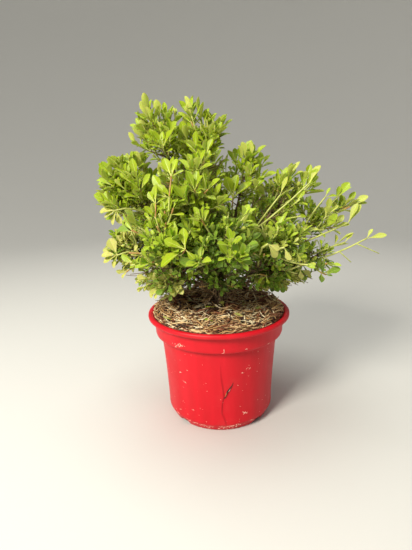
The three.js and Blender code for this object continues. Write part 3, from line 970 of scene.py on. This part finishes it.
@dataclass
class Seen:
    """A spray as the photo shows it: its mass, the limb it grows from and at what share of its length, the
    corner that its stem bends towards, its end, its leaves' tint and breadth, their tips, and where thin bare
    twigs leave the stem and end."""

    mass: str
    limb: str
    share: float
    corner: tuple
    end: tuple
    tint: str
    breadth: float
    tips: list
    side_twigs: tuple = ()


# A seen spray's tint of bright, fresh or deep is painted light and shade, from the same palette as the
# crown's sprays.
SEEN = [
    Seen("shoulder_right", "crown_right", 0.4, (57, -45, 262), (112, -22, 308), "light", 0.44,
         [(126, -14, 329)]),
    Seen("shoulder_right", "shoulder_right", 0.4, (55, -30, 269), (77, -25, 295), "light", 0.36,
         [(85, -25, 317), (94, -20, 305)]),
    Seen("reach_upper", "reach_upper", 0.8, (117, -20, 273), (135, -10, 290), "fresh", 0.38,
         [(143, -8, 307), (151, -6, 292)]),
    Seen("reach_upper", "reach_upper", 0.6, (115, -30, 240), (166, -8, 257), "light", 0.36,
         [(182, -6, 279), (175, -10, 282), (193, -4, 261)]),
    Seen("reach_lower", "reach_lower", 0.5, (117, -34, 226), (159, -22, 235), "light", 0.4,
         [(168, -20, 247)]),
    Seen("reach_lower", "reach_lower", 0.7, (140, -34, 218), (184, -26, 240), "light", 0.42,
         [(208, -26, 243), (190, -27, 252)],
         ((0.4, (145, -28, 204)), (0.6, (166, -28, 211)), (0.85, (200, -27, 221)))),
    Seen("reach_lower", "reach_lower", 0.7, (98, -46, 206), (99, -50, 209), "pale", 0.62,
         [(101, -50, 197), (113, -46, 198), (89, -50, 201)]),
    Seen("front_right", "front_right", 0.7, (47, -100, 255), (53, -106, 251), "pale", 0.55,
         [(66, -105, 245), (64, -104, 236)]),
    Seen("front_right", "front_right", 0.8, (66, -98, 250), (71, -101, 246), "pale", 0.45, [(78, -98, 231)]),
    Seen("front_right", "front_right", 0.5, (52, -60, 209), (57, -62, 205), "bright", 0.45,
         [(62, -60, 185), (76, -56, 181), (45, -60, 193)]),
    Seen("front_left", "front_left", 0.8, (-38, -100, 237), (-33, -114, 249), "bright", 0.5,
         [(-55, -112, 259), (-63, -108, 233), (-17, -112, 229), (-35, -112, 271)]),
    Seen("crown_front", "front_left", 0.9, (-53, -92, 285), (-47, -84, 322), "bright", 0.46,
         [(-55, -78, 341), (-42, -78, 341), (-34, -78, 328)]),
    Seen("crown_front", "front_left", 0.9, (-70, -84, 270), (-66, -80, 293), "bright", 0.46,
         [(-78, -76, 312), (-65, -76, 314), (-56, -76, 300), (-82, -76, 300)]),
    Seen("crown_right", "crown_right", 0.6, (18, -28, 284), (20, -30, 294), "bright", 0.46,
         [(12, -28, 319), (25, -28, 321), (43, -22, 312), (4, -32, 304)]),
    Seen("shoulder_left", "shoulder_left", 0.8, (-108, -24, 288), (-121, -33, 283), "pale", 0.5,
         [(-142, -32, 282), (-138, -34, 272), (-127, -33, 265), (-117, -33, 266)]),
    Seen("side_left", "side_left", 0.9, (-97, -48, 254), (-101, -50, 259), "deep", 0.7, [(-119, -44, 262)]),
    Seen("side_left", "side_left", 0.9, (-114, -30, 231), (-125, -30, 227), "pale", 0.62,
         [(-146, -28, 228), (-144, -30, 219), (-131, -32, 211), (-134, -28, 248)]),
]
SIGHT_ROOM = 3
SUNLIT_RADII = (1.1, 0.8)
SEEN_RADII = (1.4, 1.0)
SEEN_TWIG_RADII = (0.8, 0.6)
SEEN_FOLDS = (0.2, 0.3)
SEEN_CURLS = (-0.14, 0.2)


def seen_stem(seen):
    return Bend(CURVES[seen.limb].along(seen.share), seen.corner, seen.end)


def seen_sights():
    """The lines of sight to the sprays in SEEN: their directions from the camera, and their lengths."""
    points = []
    for seen in SEEN:
        stem = seen_stem(seen)
        points += list(stem.along(np.linspace(0.45, 1, 8)))
        points += [(stem.along(1.0) + np.array(tip)) / 2 for tip in seen.tips]
    ways = np.array(points) - CAMERA_PLACE
    return unit(ways), np.linalg.norm(ways, axis=-1)


SIGHT_WAYS, SIGHT_LENGTHS = seen_sights()


def add_seen(seen, twigs, leaves, random):
    """The stem and the leaves of a spray in SEEN."""
    stem = seen_stem(seen)
    if seen.tint == "bright":
        add_twig(twigs, stem, SUNLIT_RADII, twig_looks(GREEN, GREEN, RED))
    else:
        add_twig(twigs, stem, SEEN_RADII, GREEN_TWIG)
    for share, tip in seen.side_twigs:
        add_twig(twigs, bowed(stem.along(share), np.array(tip, float), 0), SEEN_TWIG_RADII, GREEN_TWIG)
    for tip in seen.tips:
        whole = np.array(tip) - stem.along(1.0)
        length = np.linalg.norm(whole)
        face = SUNNY + vary(random, LEAF_ROLLS) * ASIDE
        leaves.add(stem.along(1.0), whole / length, face, length, length * seen.breadth,
                   vary(random, SEEN_FOLDS), vary(random, SEEN_CURLS), GROUPS.index(seen.tint))


# Habits of the masses that aren't leafy, and the height below which a mass has no leaves
MASS_HABITS = {
    "reach_upper": "open", "reach_lower": "open", "shoulder_right": "open", "crown_right": "open",
    "crown_left": "airy", "crown_middle": "airy", "side_left": "small",
    "skirt_left": "skirt", "skirt_right": "skirt", "skirt_front": "shaded", "skirt_back": "skirt",
}
LOWEST = {
    "skirt_front": 192, "front_middle": 210, "front_left": 198, "front_right": 192, "skirt_left": 172,
    "skirt_right": 172, "skirt_back": 180,
}
LIMB_LOWEST = 184
DEAD_TWIG = Twig((0.1, 0.68), 52, (30, 80), 0.1, 0.4, 0.1, (0.7, 0.4), (2, 6))
DEAD_FORK = Twig((0.3, 0.9), 20, (25, 60), 0.1, 0.1, 0.1, (0.45, 0.3), (1, 2))
DEAD_TWIGS = 17
DEAD_FORKS = 2
DEAD_COVER = 14
LIMB_SEED = 500
LIMB_SPURS = 24
FOLIAGE_SLOTS = ["foliage_leaf_green", "foliage_bright_green", "foliage_deep_green", "foliage_soft_green"]


def build_foliage(node, slot, name, twigs, leaves, space, materials):
    """The two pieces of a mass: its leaves and its twigs."""
    heap = Heap()
    rim = np.concatenate([kind.build(heap, space) for kind in leaves])
    heap.piece([node], slot, "leaves_" + name, materials["leaves"], sharp_rim=rim)
    twigs.piece([node], slot, "twigs_" + name, materials["twigs"])


def make_mass(name, materials):
    """The twigs and leaves of one mass."""
    random = seeded(TWIG_SEED + ORDER[name])
    twigs, large, small = Heap(), Leaves(LEAF_TEMPLATE), Leaves(SMALL_TEMPLATE)
    stem = Bend(*CURVES[name].along(np.linspace(ENDS[name], 1, 3)))
    add_twig(twigs, stem, STEM_RADII, BROWN_TWIG)
    habit = HABITS[MASS_HABITS.get(name, "leafy")]

    def space(points):
        return np.minimum(loose_room(name, points), points[..., 2] - LOWEST.get(name, 0))

    def add_leafy(leaves, twig, spray):
        leafy(leaves, twig, spray, spray_group(name, twig.along(1.0), random), random)

    def add_spurs(parent, kind, count):
        for spur in side_twigs(space, parent, kind, count, random):
            add_twig(twigs, spur, kind.radii, BROWN_TO_GREEN)
            add_leafy(small, spur, habit.spur_leaves)

    def stem_looks(low):
        return twig_looks(low, GREEN, RED if random() < RED_SHARE else GREEN)

    for shoot, stands_out in mass_shoots(name):
        bare = stands_out and name.startswith("reach")
        if bare and name == "reach_lower":
            continue
        radii = BARE_SHOOT_RADII if bare else SHOOT_RADII
        add_twig(twigs, shoot, radii, stem_looks(GREEN if bare else BROWN))
        add_leafy(large, shoot, BARE_TUFT if bare else habit.shoot_leaves)
        for wand in side_twigs(space, shoot, WAND, 0 if bare else habit.wands, random):
            add_twig(twigs, wand, WAND.radii, stem_looks(GREEN))
            tint = spray_group(name, wand.along(1.0), random)
            leafy(large, wand, WAND_TUFT, tint, random)
            leafy(small, wand, WAND_LEAVES, tint, random)
        for branch in side_twigs(space, shoot, habit.branch, 1 if bare else habit.branches, random):
            add_twig(twigs, branch, habit.branch.radii, BROWN_TO_GREEN)
            add_leafy(small, branch, habit.branch_leaves)
            add_spurs(branch, SPUR, habit.branch_spurs)
        add_spurs(shoot, SPUR, 0 if bare else habit.shoot_spurs)
    add_spurs(stem, STEM_SPUR, habit.stem_spurs)
    large.clear_view()
    small.clear_view()
    for seen in SEEN:
        if seen.mass == name:
            add_seen(seen, twigs, large, random)
    slot = FOLIAGE_SLOTS[ORDER[name] % len(FOLIAGE_SLOTS)]
    build_foliage("foliage_" + name, slot, name, twigs, (large, small), space, materials)


def make_limb_spurs(materials):
    """Leafy spurs and bare dead twigs along the boughs, in the shaded middle of the crown."""
    random = seeded(LIMB_SEED)
    twigs, small = Heap(), Leaves(SMALL_TEMPLATE)
    for name in MASSES:
        for dead in side_twigs(twig_room, CURVES[name], DEAD_TWIG, DEAD_TWIGS, random):
            add_twig(twigs, dead, DEAD_TWIG.radii, BROWN_TWIG)
            for fork in side_twigs(twig_room, dead, DEAD_FORK, DEAD_FORKS, random):
                add_twig(twigs, fork, DEAD_FORK.radii, BROWN_TWIG)
        for spur in side_twigs(inner_room, CURVES[name], LIMB_SPUR, LIMB_SPURS, random):
            add_twig(twigs, spur, LIMB_SPUR.radii, BROWN_TWIG)
            # These leaves take the inner mass's deep tint, painted shade for the crown's middle.
            leafy(small, spur, SMALL_TUFT, spray_group("inner", spur.along(1.0), random), random)
    small.clear_view()
    build_foliage("foliage_inner", "foliage_deep_green", "limbs", twigs, [small], inner_room, materials)


def make_foliage(leaf_materials):
    twig_materials = [
        patchy_material("twig_brown", [(0.3, "4a3826"), (0.6, "7c6544"), (0.8, "9c8862")], 0.8, 300),
        patchy_material("twig_green", [(0.3, "a2aa4c"), (0.6, "bec46e"), (0.8, "d0d28e")], 0.55, 200),
        patchy_material("twig_red", [(0.3, "96683a"), (0.55, "b08a4a"), (0.75, "bca45a")], 0.55, 200),
    ]
    materials = {"leaves": leaf_materials, "twigs": twig_materials}
    for name in MASSES:
        make_mass(name, materials)
    make_limb_spurs(materials)


# Mulch

BED_RINGS = 44
BED_SIDES = 144
BED_RADIUS = 87.5
BED_EDGE = 143.2
BED_FOOT = 83
BED_LUMPS = ((0.055, 0, 3), (0.2, 9, 1.4))
FIBRE_RINGS = 5
FIBRE_SIDES = 4
FIBRE_TRIANGLES = tube_triangles(FIBRE_RINGS, FIBRE_SIDES)
FIBRE_TAPER = np.array([0.4, 0.9, 1, 0.85, 0.35])
FIBRE_CODES = {"fibre_straw": "dcbc8a", "fibre_pale": "efe0b8", "fibre_tan": "b8905c",
               "fibre_brown": "7c5236", "fibre_rust": "8a5236", "fibre_dark": "42281e"}
FIBRE_SHARES = (0.33, 0.22, 0.22, 0.09, 0.06, 0.08)
DEAD_SHARES = (0.1, 0.02, 0.16, 0.32, 0.22, 0.18)
DAMP_PATCHES = 0.04
DAMP_LEVEL = 0.16
HEAP_WAY = unit(np.array([-0.5, 0.87]))
HEAP_HEIGHT = 11
HEAP_RADIUS = 70
HEAP_FOOT = 28
EDGE_SPREAD = (-0.7, 1.4)
LITTER_SEED = 77
LITTER_OUTWARD = 0.38
LITTER_SHORTNESS = 1.7
FALLEN_SEED = 78
FALLEN_SIZES = (12, 6)
FALLEN_LIFTS = (5, 1)
FALLEN_BREADTH = 0.45
FALLEN_FOLD = 0.2
FALLEN_CURL = 0.1
STALK_RADIUS = 0.7
STALK_LOOK = 1


@dataclass
class Litter:
    """Loose bits: how many, their lengths and half widths, how flat they are, how much they bend and tilt,
    how high they heap, their colours' shares, and the middle and the radius of the place where they lie."""

    count: int
    lengths: tuple
    widths: tuple
    flat: float
    bend: float
    tilt: float
    heap: float
    shares: tuple = FIBRE_SHARES
    middle: tuple = (0, 0)
    spread: float = BED_RADIUS + 2


LITTER = [
    Litter(1350, (9, 33), (0.5, 1.4), 0.5, 1.2, 1.0, 6.5),
    Litter(550, (7, 22), (1.0, 2.4), 0.25, 0.4, 0.8, 5.0),
    Litter(600, (2, 7), (0.4, 0.9), 0.4, 0.4, 0.8, 2.5),
    Litter(150, (16, 50), (0.35, 0.9), 0.9, 1.0, 0.9, 13.0, DEAD_SHARES, (22, 34), 42),
    Litter(60, (14, 40), (0.3, 0.8), 0.9, 0.8, 1.1, 9.0, DEAD_SHARES, (-30, 30), 30),
]

# Leaves that have dropped on the mulch, by place, and the feet and tops of dry stalks that stand in it
FALLEN_LEAVES = [(-10, -28), (5, -13), (26, -51), (-64, -53), (52, -22), (-38, -8), (34, -6), (-12, -62),
                 (60, 22)]
STALKS = [((38, 12), (45, 14, 22)), ((55, 4), (46, 12, 21)), ((30, 20), (24, 14, 26)),
          ((-46, 24), (-56, 20, 20))]


def bed_height(x, y):
    """How high the loose top of the mulch lies: lumpy, and heaped up towards the back left."""
    radius = math.hypot(x, y)
    lumps = sum(tall * noise.noise(Vector((x * often, y * often, layer))) for often, layer, tall in BED_LUMPS)
    up_heap = min(1.0, max(0.0, 0.25 + float(HEAP_WAY @ (x, y)) / HEAP_RADIUS))
    inward = BED_RADIUS - radius
    mound = (MULCH_EDGE + MULCH_MOUND - BED_EDGE) * (1 - (radius / BED_RADIUS) ** 2)
    heap = HEAP_HEIGHT * up_heap * min(1.0, inward / HEAP_FOOT)
    return BED_EDGE + mound + lumps * min(1.0, inward / 12) + heap


def litter_path(kind, random):
    """The middle line of one loose bit, which lies along the rim where it would reach over it."""
    radius, angle = kind.spread * random() ** LITTER_OUTWARD, math.tau * random()
    x, y = kind.middle[0] + radius * math.cos(angle), kind.middle[1] + radius * math.sin(angle)
    length = between(kind.lengths, random() ** LITTER_SHORTNESS)
    shares = np.linspace(-0.5, 0.5, FIBRE_RINGS)
    heading = math.tau * random()
    if math.hypot(x, y) + length / 2 > BED_RADIUS:
        heading = math.atan2(y, x) + math.pi / 2 + vary(random, EDGE_SPREAD)
    turns = heading + kind.bend * (random() - 0.5) * 2 * shares
    steps = round_points(1, turns, kind.tilt * (random() - 0.5))
    path = np.array([x, y, 0]) + steps * shares[:, None] * length
    lift = kind.heap * random() ** 1.5
    path[:, :2] *= min(1, BED_RADIUS / np.hypot(path[:, 0], path[:, 1]).max())
    path[:, 2] += bed_height(x, y) + lift + kind.bend * (0.25 - shares**2)
    for point in path:
        point[2] = max(point[2], bed_height(*point[:2]) + 0.2)
    return path


def make_bed():
    """The uneven top of the mulch, closed by a foot on the compost."""
    radii = np.append(np.linspace(1, BED_RADIUS, BED_RINGS), [BED_FOOT, 1])
    points = round_points(radii[:, None], round_angles(BED_SIDES), COMPOST_TOP)
    for x_y_z in points[:BED_RINGS].reshape(-1, 3):
        x_y_z[2] = bed_height(*x_y_z[:2])
    stops = [(0.35, "1e130d"), (0.52, "44301f"), (0.66, "6e4f36"), (0.82, "967452")]
    material = patchy_material("mulch_bed", stops, 0.95, 260, bump=1.0, distance=0.002)
    triangles = grid_triangles(len(radii), BED_SIDES)
    make_piece(["mulch"], "mulch", "mulch_bed", points.reshape(-1, 3), triangles, [material])


def make_litter():
    """The wood fibres, chips, dead twigs and stalks that lie on the mulch, browner in damp patches."""
    random = seeded(LITTER_SEED)
    fibres = Heap()
    for kind in LITTER:
        for _ in range(kind.count):
            path = litter_path(kind, random)
            width = between(kind.widths, random() ** 1.5)
            damp = noise.noise(Vector(path[0] * DAMP_PATCHES)) > DAMP_LEVEL
            shares = np.cumsum(DEAD_SHARES if damp else kind.shares)
            look = min(int(np.searchsorted(shares, random())), len(FIBRE_CODES) - 1)
            roll = np.array([random() - 0.5, random() - 0.5, random()])
            fibre = tube_points(path, width * FIBRE_TAPER, FIBRE_SIDES, flat=kind.flat, reference=roll)
            fibres.add(fibre, FIBRE_TRIANGLES, look)
    for foot, (x, y, tall) in STALKS:
        start = np.array([*foot, bed_height(*foot)])
        stalk = bowed(start, np.array([x, y, start[2] + tall]), 0.1).along(np.linspace(0, 1, FIBRE_RINGS))
        fibres.add(tube_points(stalk, STALK_RADIUS * FIBRE_TAPER, FIBRE_SIDES), FIBRE_TRIANGLES, STALK_LOOK)
    materials = [plain_material(name, code, 0.85, 700, 0.4) for name, code in FIBRE_CODES.items()]
    fibres.piece(["mulch"], "mulch", "mulch_fibres", materials, smooth=False)


def make_fallen_leaves(leaf_materials):
    """A few dropped leaves that lie on the mulch, some still green."""
    random = seeded(FALLEN_SEED)
    leaves = Leaves(LEAF_TEMPLATE)
    for x, y in FALLEN_LEAVES:
        turn = math.tau * random()
        way = unit(np.array([math.cos(turn), math.sin(turn), 0.3 * (random() - 0.5)]))
        face = UP + vary(random, LEAF_ROLLS) * np.cross(UP, way)
        length = vary(random, FALLEN_SIZES)
        root = np.array([x, y, bed_height(x, y) + vary(random, FALLEN_LIFTS)]) - way * length / 2
        tint = GROUPS.index("pale" if random() < 0.5 else "mid")
        leaves.add(root, way, face, length, length * FALLEN_BREADTH, FALLEN_FOLD, FALLEN_CURL, tint)
    heap = Heap()
    rim = leaves.build(heap, lambda points: BED_RADIUS - np.hypot(points[..., 0], points[..., 1]))
    heap.piece(["mulch"], "mulch", "mulch_fallen_leaves", leaf_materials, sharp_rim=rim)


# Pot

POT_SIDES = 240
FRONT_SIDES = 49
FRONT_SPAN = 0.14
WALL_ROWS = 30
CHAMFER_RADIUS = 66.5
WALL_FOOT = (72.6, 12.6)
WALL_TOP = (SHOULDER_RADIUS, 113.2)

# The pot's profile as radii and heights: outside from the middle of its foot to its lip, then inside
FOOT_PROFILE = [(0.5, 0), (40, 0), (56, 0), (62, 0), (65, 0), (66.2, 0.3), (66.8, 1.0), (67.6, 2.8),
                (69.6, 6.4), (71.6, 9.6), (72.2, 10.9)]
WALL_PROFILE = [tuple(place) for place in np.linspace(WALL_FOOT, WALL_TOP, WALL_ROWS + 1)]
COLLAR_PROFILE = [(79.2, 114.6), (81.6, 115.2), (84.2, 115.8), (85.4, 116.6), (85.9, 118.2), (86.1, 122),
                  (86.5, 127), (87.0, 132), (87.5, 136), (88.2, 137.8), (89.6, 138.3)]
LIP_PROFILE = [(91.6, 137.8), (93.6, 138.0), (94.7, 139.0), (95.0, 140.6), (94.8, 142.2), (93.9, 143.4)]
INNER_LIP_PROFILE = [(92.4, POT_HEIGHT), (90.6, 143.9), (88.9, 143.2), (87.6, 142.0), (86.6, 140.2),
                     (85.8, 137.8), (84.9, 134.5)]
OUTSIDE_PROFILE = FOOT_PROFILE + WALL_PROFILE + COLLAR_PROFILE + LIP_PROFILE + INNER_LIP_PROFILE
INSIDE_PROFILE = [(84.2, 131), (84.2, 117), (76.7, 114), (72, 58), (64, 3.2), (60, FLOOR), (0.5, FLOOR)]

# How the thin wall ripples: how often round the pot, its turn, its turn with height, and how far in. The
# ripples and the crease fade in and out over a height, given as where and how far.
RIPPLES = [(5, 0.6, 0, 0.35), (9, 0, 0.03, 0.25), (17, 0, 0, 0.12)]
RIPPLE_SINK = 0.6
RIPPLES_FROM = (8, 20)
RIPPLES_TO = (-112, 14)
NOTCH_SLOPE = 0.05

# Marks on the pot, by angle from the front, positive towards the right, and height
CREASE_ANGLE = math.radians(1.5)
CREASE_FROM = (6, 10)
CREASE_TO = (-104, 40)
CREASE_STEP = (-0.9, 1.8)
CREASE_SIDES = (0.9, -0.6)
CREASE_SINK = 0.4
CREASE_HEIGHTS = (12, 20, 28, 41, 53, 66, 81, 104)
CREASE_SWAYS = (0.07, 0.042, -0.002, 0.004, 0.037, 0.017, -0.009, -0.022)
CREASE_REACH = 9
SCRATCH_FRONTS = (math.radians(12.5), math.radians(3.2))
SCRATCH_HEIGHTS = (72, 49)
SCRATCH_RINGS = 24
MARK_SIDES = 6

# The scratch's dark groove, its torn pale edge and its splinters: look, rings, shift, breadth and lift
SCRATCH_PARTS = [(0, 0, 24, 0.0, 1.0, 0.1), (1, 8, 14, 0.012, 0.7, 0.5), (2, 13, 21, -0.006, 0.7, 0.5)]
MARK_CODES = {"scratch_dark": ("3a1512", 0.7), "scuff_pale": ("f2c8b4", 0.8), "splinter_tan": ("a8683f", 0.8)}
PALE_MARK = 1
MARK_SEED = 31
MARK_FLATNESS = 0.5
STROKE_RINGS = 4
STROKE_SIDES = 5
STROKE_TRIANGLES = tube_triangles(STROKE_RINGS, STROKE_SIDES)
WALL_RADIUS = 75
FLECK_LIFT = 0.02
SPECKS = 150
SPECK_HEIGHTS = (2, 110)
SPECK_LENGTHS = (0.3, 1.4)

# How flecks vary by chance, as spreads: their lengths, slopes and widths
SCUFF_LENGTHS, SCUFF_SLOPES, SCUFF_WIDTHS = (0.5, 1.4), (-0.64, 1.6), (0.15, 0.3)
SPECK_SLOPES, SPECK_WIDTHS = (-1, 2), (0.1, 0.2)
SCUFF_TAPER, SPECK_TAPER = (0.3, 1, 0.8, 0.3), (1, 1, 1, 1)

# Scuffs: the angle, height and size of each
# The pale scuff at 3° and 118 mm is a painted highlight on a small moulded nub of the collar, which has no
# shape of its own.
SCUFFS = [(-37, 121, 9), (-32, 123, 7), (3, 118, 2), (22, 84, 3), (28, 88, 4), (-41, 78, 3), (-37, 66, 4),
          (-29, 28, 2), (-36, 10, 5), (-28, 9, 5), (-20, 7, 5), (-12, 6, 6), (0, 6, 6), (5, 7, 8), (13, 6, 7),
          (18, 8, 6), (35, 9, 5), (45, 118, 3), (22, 120, 2), (-52, 12, 4), (-47, 20, 3)]

# Nicks that show as single strokes: the angle and height of each end, and half their width
NICK_TAPER = (0.4, 1, 0.9, 0.4)
NICK_LIFT = 0.05
# The nick at 3.6° from 119 to 123 mm is a painted highlight on the same moulded nub of the collar.
NICKS = [((22.4, 26.8), (28.2, 22.6), 0.5), ((26.2, 26.2), (23.6, 22.4), 0.45),
         ((26.6, 23.6), (28.8, 24.4), 0.3), ((3.6, 123), (3.7, 119), 0.55), ((-18.5, 9), (-16.5, 7.6), 0.4),
         ((9.5, 7.4), (14.5, 8.2), 0.5)]


def ramp_up(value, start, width):
    """Goes from 0 to 1 over a width from its start."""
    return np.clip((value - start) / width, 0, 1)


def buckled(radius, height, angle):
    """The radius of the pot's thin wall, a little out of true, with a crease that runs down its front."""
    ripple = sum(deep * np.cos(often * angle + turn + height * rise) for often, turn, rise, deep in RIPPLES)
    wall = ramp_up(height, *RIPPLES_FROM) * ramp_up(-height, *RIPPLES_TO)
    front = (angle + math.pi / 2 + math.pi) % math.tau - math.pi
    off = (front - CREASE_ANGLE - np.interp(height, CREASE_HEIGHTS, CREASE_SWAYS)) * radius
    crease = ramp_up(height, *CREASE_FROM) * ramp_up(-height, *CREASE_TO)
    fold = between(CREASE_SIDES, ramp_up(off, *CREASE_STEP)) * np.exp(-np.abs(off) / CREASE_REACH)
    return radius - wall * (ripple + RIPPLE_SINK) + crease * (fold - CREASE_SINK)


def make_pot():
    """The pot, with its rolled lip, collar, chamfered foot, drain notches and slightly buckled wall."""
    front = 1.5 * math.pi + np.linspace(-FRONT_SPAN, FRONT_SPAN, FRONT_SIDES)
    angles = np.unique(np.concatenate([round_angles(POT_SIDES), front]).round(5))
    profile = np.array(OUTSIDE_PROFILE + INSIDE_PROFILE)
    radius, height, angle = np.broadcast_arrays(profile[:, :1], profile[:, 1:], angles)
    outside = (np.arange(len(profile)) < len(OUTSIDE_PROFILE))[:, None]
    radius = np.where(outside, buckled(radius, height, angle), radius)
    notch_turn = math.tau / NOTCHES
    from_notch = np.abs(angle % notch_turn - notch_turn / 2)
    arch = ramp_up(NOTCH_WIDTH / 2 / BASE_RADIUS - from_notch, 0, NOTCH_SLOPE)
    in_notch = (radius > CHAMFER_RADIUS - NOTCH_DEPTH) & (height < NOTCH_HEIGHT) & outside
    height = np.where(in_notch, np.maximum(height, NOTCH_HEIGHT * arch), height)
    triangles = grid_triangles(len(profile), len(angles))
    points = round_points(radius, angle, height).reshape(-1, 3)
    make_piece(["pot"], "pot", "pot_shell", points, triangles, [pot_material()])


def on_pot(front, height, lift):
    """A point on the pot's outside, lifted off it a little."""
    radii, heights = np.array(FOOT_PROFILE[8:] + WALL_PROFILE + COLLAR_PROFILE + LIP_PROFILE[:3]).T
    angle = front - math.pi / 2
    return round_points(buckled(np.interp(height, heights, radii), height, angle) + lift, angle, height)


def add_stroke(marks, start, end, width, taper, lift):
    """A thin pale stroke on the pot between two places, each an angle from the front and a height."""
    path = on_pot(*np.linspace(start, end, STROKE_RINGS).T, lift)
    stroke = tube_points(path, width * np.array(taper), STROKE_SIDES, flat=MARK_FLATNESS)
    marks.add(stroke, STROKE_TRIANGLES, PALE_MARK)


def add_fleck(marks, front, level, long, slope, width, taper):
    """A short stroke round a place on the pot, which rises by its slope."""
    middle, half = np.array([front, level]), np.array([1 / WALL_RADIUS, slope]) * long / 2
    add_stroke(marks, middle - half, middle + half, width, taper, FLECK_LIFT)


def make_pot_marks():
    """The dark scratch with its torn pale edge, the pale scuffs, nicks and specks, and a painted highlight on
    the collar's nub.
    """
    marks = Heap()
    share = np.linspace(0, 1, SCRATCH_RINGS)
    front = between(SCRATCH_FRONTS, share) + 0.008 * np.sin(share * 9)
    height = between(SCRATCH_HEIGHTS, share)
    width = 0.3 + 1.3 * np.sin(math.pi * share**1.4) ** 0.7
    for look, start, end, shift, broad, lift in SCRATCH_PARTS:
        part, rings = slice(start, end), end - start
        taper = np.sin(np.linspace(0, math.pi, rings)) * 0.9 + 0.1 if look else 1
        path = on_pot(front[part] + shift, height[part], lift)
        scratch = tube_points(path, width[part] * broad * taper, MARK_SIDES, flat=MARK_FLATNESS)
        marks.add(scratch, tube_triangles(rings, MARK_SIDES), look)
    random = seeded(MARK_SEED)
    for degrees, level, size in SCUFFS:
        for _ in range(size * 2):
            add_fleck(marks, math.radians(degrees) + (random() - 0.5) * size * 0.02,
                      level + (random() - 0.5) * size * 0.6, vary(random, SCUFF_LENGTHS),
                      vary(random, SCUFF_SLOPES), vary(random, SCUFF_WIDTHS), SCUFF_TAPER)
    for (left, foot), (right, top), width in NICKS:
        start, end = (math.radians(left), foot), (math.radians(right), top)
        add_stroke(marks, start, end, width, NICK_TAPER, NICK_LIFT)
    for _ in range(SPECKS):
        add_fleck(marks, math.tau * random(), between(SPECK_HEIGHTS, random() ** 1.6),
                  between(SPECK_LENGTHS, random() ** 2), vary(random, SPECK_SLOPES),
                  vary(random, SPECK_WIDTHS), SPECK_TAPER)
    materials = [plain_material(name, *look) for name, look in MARK_CODES.items()]
    marks.piece(["pot"], "pot", "pot_marks", materials)


make_camera()
make_light()
make_floor()
make_pot()
make_pot_marks()
leaf_looks = [plain_material("leaf_" + name, code, 0.42, 900, 0.25, **LEAF_FINISH)
              for name, code in LEAF_CODES.items()]
make_bed()
make_litter()
make_fallen_leaves(leaf_looks)
make_bark()
make_foliage(leaf_looks)
compost_stops = [(0.35, "120c09"), (0.6, "33251a"), (0.8, "59452f")]
frame["nodes"]["compost"].data.materials[0] = patchy_material("compost_soil", compost_stops, 0.95, 300)
